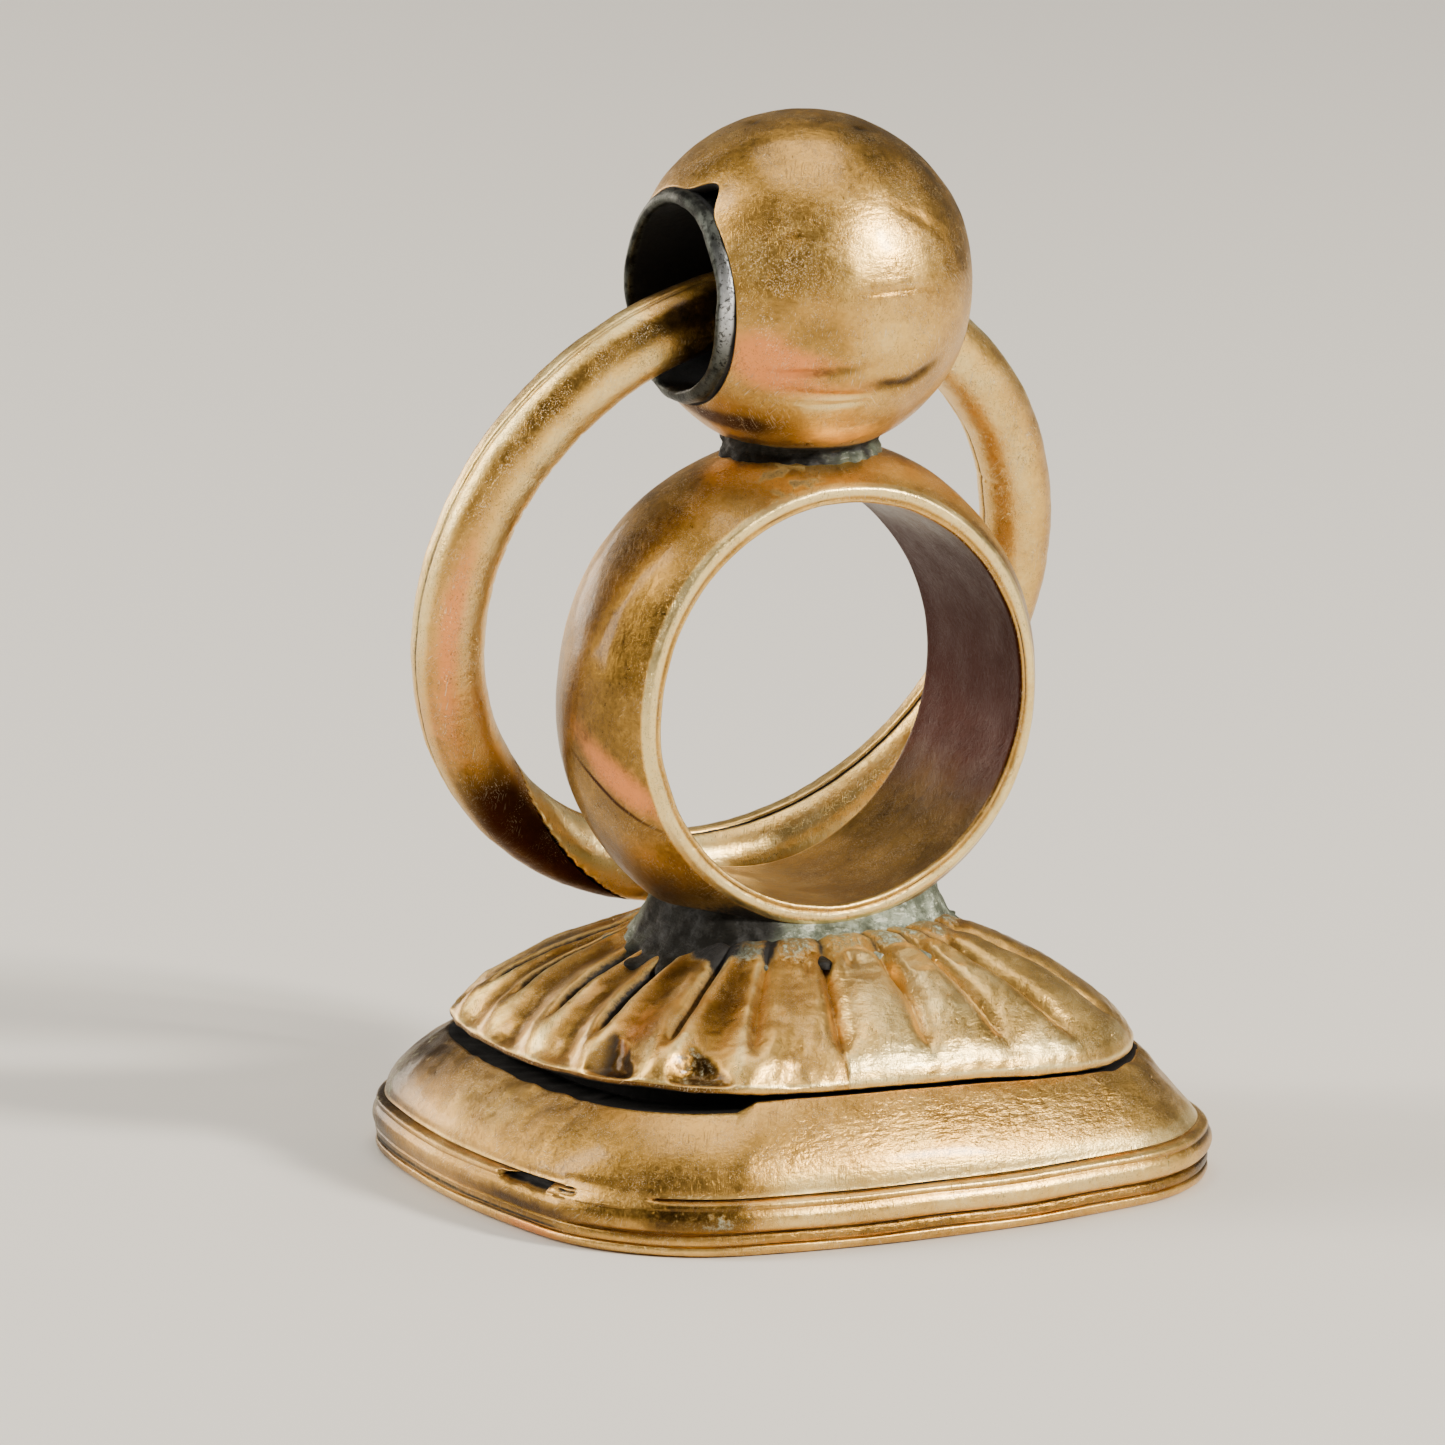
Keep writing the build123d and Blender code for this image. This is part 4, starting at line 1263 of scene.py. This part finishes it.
# %% Ball marks
ball_cloud = lumps(ball_points, 2.8, seed=53)
ball_fine = lumps(ball_points, 0.8, seed=54)
at_hole = ease(np.abs(ball_rows[:, :1]), 0.95, 1.0)
bottom = ease(-look[..., 2], 0.86, 0.93)
ball_blots = {
    # amount, direction, lift, spreads lengthwise and crosswise in degrees, lean
    # Tone blots paint light: a highlight halo at the front right and a lighter facet below it, shade over
    # the dent at the left and in the creases, and highlights on the wrinkles low down
    "tone": (
        (0.20, -86, 18, 20, 15, 0),
        (0.22, -84, -13, 11, 9, 0),
        (-0.18, -113, -8, 9, 6, -20),
        (0.06, -132, 14, 10, 22, 0),
        (-0.50, -82, -28.5, 7, 1.7, 4),
        (-0.36, -68, -25, 5, 1.7, 30),
        (-0.36, -114, -22.5, 11, 1.1, 3),
        (-0.12, -86, 4.5, 9, 1.0, 1),
        (0.26, -104, -38, 16, 7, 0),
        (0.40, -107, -35, 8, 1.9, 3),
        (-0.14, -158, 56, 12, 3, 50),
        (-0.12, -68, 27, 10, 2.0, -38),
        (-0.26, -59, 68, 2.2, 1.2, 0),
        (-0.30, -121, 24, 1.8, 1.5, 0),
        (-0.24, 175, 71, 2.5, 1.5, 0),
        (-0.08, -90, 62, 50, 16, 0),
        (-0.10, -140, 42, 9, 12, 0),
        (0.10, 170, 60, 20, 8, 0),
    ),
    "dirt_and_shade": ((0.55, 172, -38, 16, 8, 0),),
    # A painted pink reflection beside the mouth
    "pink_reflection": (
        (0.95, -133, -15, 9, 7, -10),
        (0.55, -128, -24, 12, 6, 0),
        (0.50, -106, -30, 14, 4, 0),
        (0.45, -112, -18, 10, 2.5, -5),
    ),
    # Painted dark red-brown shade on the dent at the left and low on the left
    "red": ((0.30, -112, -10, 9, 5, -25), (1.05, -158, -47, 15, 5, -10)),
    "grain": ((0.20, -80, 15, 30, 30, 0),),
}
ball_marks = {mark: add_up(rows, on_ball) for mark, rows in ball_blots.items()}
ball_marks["tone"] += 0.56 + 0.02 * ball_cloud + 0.010 * ball_fine
# The walls of the holes are painted dark as shade, and the bottom under the neck is dark
ball_marks["dirt_and_shade"] += 0.85 * at_hole * (-ball_rows[:, 1:] > 0.02) + 0.9 * bottom
add_piece("ball_skin", ball_points, worn_gold, "seal", "seal_top", ball_marks)

# %% [markdown]
# Between ball and band lies a little more solder, painted dark as shade. It is a waist between the two,
# oval in plan. Its lower end follows the band's own formula and its upper end the ball's.

# %% Solder neck
neck_section = np.array([
    # radius, share of the way up from the band, care
    (1.20, -0.50, 0.1),
    (2.22, -0.30, 0.6),
    (2.12, 0.10, 1.0),
    (2.02, 0.35, 1.0),
    (1.98, 0.60, 1.0),
    (2.06, 0.90, 1.0),
    (2.16, 1.20, 0.6),
    (1.20, 1.60, 0.1),
])
neck_rows = rows_of(rounded(neck_section, softness=0.03), 36)
neck_turn, neck_degrees = circle(320)
neck_radius = neck_rows[:, :1] * oval_reach(1.06, 0.80, neck_turn, power=2)
way_up = neck_rows[:, 1:2]
neck_x, neck_y = neck_radius * np.cos(neck_turn), neck_radius * np.sin(neck_turn)
on_band_height = band_height + band_height_at(neck_x, neck_y)
on_ball_height = ball_height - np.sqrt(ball_radius**2 - neck_radius**2)
neck_z = on_band_height + way_up * (on_ball_height + 0.05 - on_band_height)
neck_plain = ring_of_points(neck_radius, neck_z, neck_turn)
neck_relief = 0.03 * lumps(neck_plain, 0.9, seed=61) + 0.012 * lumps(neck_plain, 0.3, seed=62)
neck_points = ring_of_points(neck_radius + neck_relief, neck_z, neck_turn)
neck_marks = {
    # The solder is painted dark as shade between ball and band, darkest at the left
    "dirt_and_shade": 0.50 + 0.55 * toward(neck_degrees, -170, 45) + 0.08 * lumps(neck_points, 0.8, seed=63)
    + 0.2 * ease(way_up, 0.3, 0.9),
    "tarnish": 0.30 * toward(neck_degrees, -100, 30),
}
add_piece("solder_neck", neck_points, solder_crust, "seal", "seal_top", neck_marks)

# %% [markdown]
# The bore is lined with a grey metal tube. At its left end it is rolled over into a soft rim that
# stands proud of the ball, and at its right end it is cut off just inside. Inside it is painted nearly black
# as shade, and the rim carries a painted highlight at the front.

# %% Bore liner
liner_wall = 0.39
liner_in = liner_radius - liner_wall
liner_left, liner_right = liner_low[0], liner_high[0]
liner_section = np.array([
    # radius, place along the bore, care
    (liner_in, liner_left + 1.2, 0.5),
    (liner_in, liner_right - 0.3, 0.5),
    (liner_in + 0.04, liner_right, 1.0),
    (liner_radius - 0.06, liner_right, 1.0),
    (liner_radius, liner_right - 0.3, 0.6),
    (liner_radius, liner_left + 0.9, 0.5),
    (liner_radius + 0.01, liner_left + 0.42, 1.0),
    (liner_radius + 0.02, liner_left + 0.26, 1.0),
    (liner_radius - 0.06, liner_left + 0.10, 1.0),
    (liner_radius - 0.18, liner_left + 0.01, 1.0),
    (liner_radius - 0.30, liner_left - 0.01, 1.0),
    (liner_in + 0.02, liner_left + 0.07, 1.0),
    (liner_in, liner_left + 0.30, 1.0),
])
liner_rows = rows_of(rounded(liner_section, softness=0.025), 64)
liner_turn, liner_degrees = circle(256)


def turned_about_x(radius, along, turn, height):
    """Points at a radius from a level axis along X, at a height, in the direction turn."""
    radius, along, turn = np.broadcast_arrays(radius, along, turn)
    return np.stack([along, radius * np.cos(turn), height + radius * np.sin(turn)], -1)


liner_r, liner_x = liner_rows[:, :1], liner_rows[:, 1:2]
liner_plain = turned_about_x(liner_r, liner_x, liner_turn, bore_height)
proud = 1 - ease(liner_x, liner_left + 0.1, liner_left + 0.5)
liner_points = turned_about_x(
    liner_r + 0.010 * lumps(liner_plain, 1.2, seed=71) + 0.005 * lumps(liner_plain, 0.4, seed=72),
    liner_x + proud * 0.025 * lumps(liner_plain, 2.0, seed=73),
    liner_turn,
    bore_height,
)
# Painted shade inside the tube, and a dark line where it meets the ball
inside_liner_shade = (liner_r < liner_in + 0.05) * ease(liner_x, liner_left + 0.05, liner_left + 0.40)
contact = spot(liner_x, liner_left + 0.40, 0.05) * (liner_r > liner_radius - 0.05)
# A painted highlight on the front of the rolled rim
liner_highlight = toward(liner_degrees, 174, 13) * between(liner_x, liner_left + 0.05, liner_left + 0.34, 0.06)
liner_marks = {
    "tone": liner_highlight * (liner_r > liner_in + 0.1),
    "dirt_and_shade": 1.1 * inside_liner_shade + 0.9 * contact + 0.06 * lumps(liner_points, 0.6, seed=74)
    + 0.35 * toward(liner_degrees, -120, 40) * proud,
}
add_piece("bore_liner", liner_points, grey_liner, "seal", "bush", liner_marks)

# %% [markdown]
# A split ring is one wire of half-round section that goes twice round. The first coil lies in front
# and starts as a point at the ring's outer edge. After one turn the wire slides under that point: it
# leaves the front layer at the inner edge and comes up in the back layer at the outer edge. The second
# coil lies behind and ends as a point at the inner edge. All of it is one section with two intervals,
# one for each layer, whose ends move while the path turns.

# %% Wire section
ring_low, ring_high = box_mm("split_ring")
ring_radius = 8.50
wire_radius = 0.96
ring_lean = math.acos((ring_high[2] - ring_low[2] - 2 * wire_radius) / (2 * ring_radius))
split_half = 0.018
seam_half = 0.055
step_low, step_high = 99.0, 143.0
path_degrees = np.linspace(step_low, step_high + 720, 980)[:, None]


def boundary(degrees):
    """Where the two strands of the step meet across the wire: from 1, outside, to -1, inside."""
    return 1 - 2 * np.clip((degrees - step_low) / (step_high - step_low), 0, 1)


front_from = np.minimum(boundary(path_degrees) + seam_half * (path_degrees < step_high), 1)
front_from = np.where(path_degrees < step_high, front_from, -1)
front_to = boundary(path_degrees - 360)
back_from = boundary(path_degrees - 360)
back_to = np.maximum(boundary(path_degrees - 720) - seam_half * (path_degrees > step_low + 720), -1)
lowest = np.where(path_degrees < step_low + 360, front_from, -1)
highest = np.where(path_degrees > step_high + 360, back_to, 1)
around = np.linspace(0, 2 * np.pi, 80, endpoint=False)[None, :]
around = around - 0.42 * np.sin(2 * around)
across = (highest + lowest) / 2 + (highest - lowest) / 2 * np.cos(around)
bulge = np.clip(1 - np.abs(across) ** 2.3, 0, 1) ** 0.5 * (wire_radius - split_half)
in_front = 1 - ease(across, front_to + 0.02, front_to + seam_half)
in_back = ease(across, back_from - seam_half, back_from - 0.02)
front_face = split_half * (2 * in_front - 1) + bulge * in_front
back_face = split_half * (1 - 2 * in_back) - bulge * in_back
along_mm = np.where(np.sin(around) >= 0, front_face, back_face)
print("strands up to", float(np.ptp(across, axis=1).max()), "wire radii wide")

# %% [markdown]
# The section is carried round the circle. The wire is a little uneven, has a few nicks on its inner
# edge, and a groove where the two coils meet, which gapes most at the side seen through the band. The
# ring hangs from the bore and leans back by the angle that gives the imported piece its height.

# %% Split ring
path = np.radians(path_degrees)
flat_x, flat_y = np.cos(path) * (ring_radius + across), np.sin(path) * (ring_radius + across)
flat_points = np.stack([flat_x, flat_y, along_mm], -1)
wear = 0.006 * lumps(flat_points, 1.8, seed=81) + 0.003 * lumps(flat_points, 0.5, seed=82)
nick_depths = {196: 0.05, 200: 0.07, 203.5: 0.05, 214: 0.03, 222: 0.04, 187: 0.04, 340: 0.05}
nicks = sum(
    depth * toward(path_degrees, turn, 0.35) * (across < -0.6)
    for turn, depth in nick_depths.items()
)
open_split = between(off(path_degrees, 70), -48, 36, 16)
notch = (0.05 + 0.07 * open_split) * spot(along_mm, 0, 0.045)
radial = ring_radius + across * (wire_radius + wear) * (1 - notch) + nicks

# The ring's plane holds the bore's direction and down, which leans with the ring
down = np.array([0, math.sin(ring_lean), -math.cos(ring_lean)])
normal = np.array([0, math.cos(ring_lean), math.sin(ring_lean)])
centre = hinge + down * ring_radius
sideways = (radial * np.cos(path))[..., None] * [1, 0, 0]
downwards = (radial * np.sin(path))[..., None] * down
ring_points = centre + sideways + downwards - (along_mm * (1 + wear))[..., None] * normal
print("ring grid", ring_points.shape, "lean", round(math.degrees(ring_lean), 2))

# %% [markdown]
# The wire is satin gold with long soft strips: olive along the outside, paler inside, and a fine brown line
# beside a painted highlight on the outer edge. It carries a painted pink reflection at the left and painted
# dark red-brown shade low on the left, beside a strand painted pale as lit. Inside the ball it is painted
# dark as shade.

# %% Ring marks
ring_cloud = lumps(ring_points, 3.0, seed=83)
ring_fine = lumps(ring_points, 0.8, seed=84)
split_dirt = 0.55 + 0.45 * open_split - 0.20 * between(off(path_degrees, 228), -30, 40, 15)
split_dirt = split_dirt * (np.abs(along_mm) < 0.05)
# A painted highlight on the outer edge
outer_edge_highlight = spot(across, 0.97, 0.06)
brown_strip = spot(across, 0.84, 0.05)
low_left = between(off(path_degrees, 130), -32, 18, 22)
# One coil's strand is painted pale as if lit
lit_strand = between(path_degrees, step_low - 10, step_high + 4, 12) * (in_front < 0.5)
lit_strand = lit_strand + between(path_degrees, step_low + 350, step_high + 364, 12) * (across < front_to)
# Painted shade low on the left, kept off the lit strand
in_shade = low_left * spot(across, 0.10, 0.75) * (1 - np.clip(lit_strand, 0, 1))
ring_marks = {
    # Tone paints the outer edge's highlight and the lit strand, and shade low on the left and inside the
    # ball
    "tone": 0.78 + 0.02 * ring_cloud + 0.12 * spot(across, -0.35, 0.45) - 0.14 * spot(across, 0.60, 0.20)
    + 0.20 * outer_edge_highlight - 0.12 * brown_strip + 0.28 * lit_strand
    - 0.60 * between(off(path_degrees, 270), -25, 25, 8) - 0.44 * in_shade
    + 0.10 * toward(path_degrees, 232, 20) * spot(across, 0.0, 0.3),
    # Low on the left the dirt mark is painted shade
    "dirt_and_shade": split_dirt + 0.12 * low_left * spot(across, -0.2, 0.5) * ease(off(path_degrees, 118), 14, -6),
    # A painted pink reflection at the left
    "pink_reflection": 0.80 * toward(path_degrees, 180, 11) * spot(across, 0.45, 0.22)
    + 0.40 * toward(path_degrees, 158, 12) + 0.22 * toward(path_degrees, 196, 18),
    # Painted dark red-brown shade low on the left
    "red": 1.05 * in_shade + 0.02 * ring_fine,
    "grain": 0.15,
}
add_piece(
    "ring_coils", ring_points, ring_gold, "ring", "split_ring", ring_marks, closed_rows=False
)

# %% [markdown]
# The stage is a plain pale floor. Gold shows its colour by what it mirrors, so the light is a few soft
# panels against a dim room: a small warm key at the front right, a tall panel at the back left for the
# bright edges, a low warm one behind for the rims, and a wide one overhead.

# %% Floor and lights
object_middle = 14.0 * MM


def placed(right, up, back, place):
    """The matrix of an object with these three axes, standing at a place."""
    return Matrix(np.vstack([np.column_stack([right, up, back, place]), [0, 0, 0, 1]]).tolist())


def pale_floor():
    """A wide plain floor, matt and pale."""
    half = 3.0
    mesh = bpy.data.meshes.new("floor")
    corners = [(-half, -half, 0), (half, -half, 0), (half, half, 0), (-half, half, 0)]
    mesh.from_pydata(corners, [], [(0, 1, 2, 3)])
    finish = Finish("pale_floor")
    shader = finish.node("BsdfPrincipled", {"Base Color": paint(226, 221, 211), "Roughness": 0.85})
    finish.node("OutputMaterial", {"Surface": shader})
    mesh.materials.append(finish.material)
    floor = bpy.data.objects.new("floor", mesh)
    bpy.context.scene.collection.objects.link(floor)


def panel(name, towards, distance, size, power, colour):
    """A square or oblong light panel that looks at the object from the direction towards."""
    light = bpy.data.lights.new(name, "AREA")
    light.shape = "RECTANGLE"
    light.size, light.size_y = size
    light.energy = power
    light.color = colour
    lamp = bpy.data.objects.new(name, light)
    back = np.array(towards) / np.linalg.norm(towards)
    side = np.cross([0, 0, 1], back)
    side = side / np.linalg.norm(side)
    place = back * distance + np.array([0, 0, object_middle])
    lamp.matrix_world = placed(side, np.cross(back, side), back, place)
    bpy.context.scene.collection.objects.link(lamp)


pale_floor()
panel("key", (0.50, -0.70, 0.50), 0.36, (0.05, 0.05), 2.0, (1.0, 0.95, 0.88))
panel("back_left", (-0.80, 0.45, 0.50), 0.45, (0.12, 0.40), 2.0, (1.0, 0.97, 0.92))
panel("rim", (-0.22, 1.0, 0.10), 0.42, (0.22, 0.10), 0.5, (1.0, 0.90, 0.76))
panel("overhead", (0.05, 0.10, 1.0), 0.60, (0.45, 0.45), 2.3, (1.0, 0.97, 0.93))
world = bpy.data.worlds.new("dim_room")
world.use_nodes = True
room = world.node_tree.nodes["Background"]
room.inputs["Color"].default_value = (0.30, 0.29, 0.27, 1)
room.inputs["Strength"].default_value = 0.45
bpy.context.scene.world = world

# %% [markdown]
# The camera stands where the photograph was taken from: a long lens, a little above the object and to
# its left. Its axes are built from the two angles of the view and a slight roll.

# %% Camera
view_turn, view_lift, view_roll = math.radians(-28.5), math.radians(12.1), math.radians(0.7)
view_distance = 0.270
aim_sideways, aim_height = -0.00195, 0.0119
photo_pixels = 1445
focal_pixels = 10143

back = np.array([
    math.sin(view_turn) * math.cos(view_lift),
    -math.cos(view_turn) * math.cos(view_lift),
    math.sin(view_lift),
])
level = np.array([math.cos(view_turn), math.sin(view_turn), 0])
upright = np.cross(back, level)
right = math.cos(view_roll) * level + math.sin(view_roll) * upright
up = math.cos(view_roll) * upright - math.sin(view_roll) * level
place = back * view_distance + aim_sideways * level + np.array([0, 0, aim_height])

lens = bpy.data.cameras.new("camera")
lens.sensor_width = 36
lens.lens = focal_pixels * lens.sensor_width / photo_pixels
lens.clip_start, lens.clip_end = 0.01, 20
camera = bpy.data.objects.new("camera", lens)
camera.matrix_world = placed(right, up, back, place)
bpy.context.scene.collection.objects.link(camera)
bpy.context.scene.camera = camera
print("lens", round(lens.lens, 1), "mm at", [round(c, 4) for c in place])
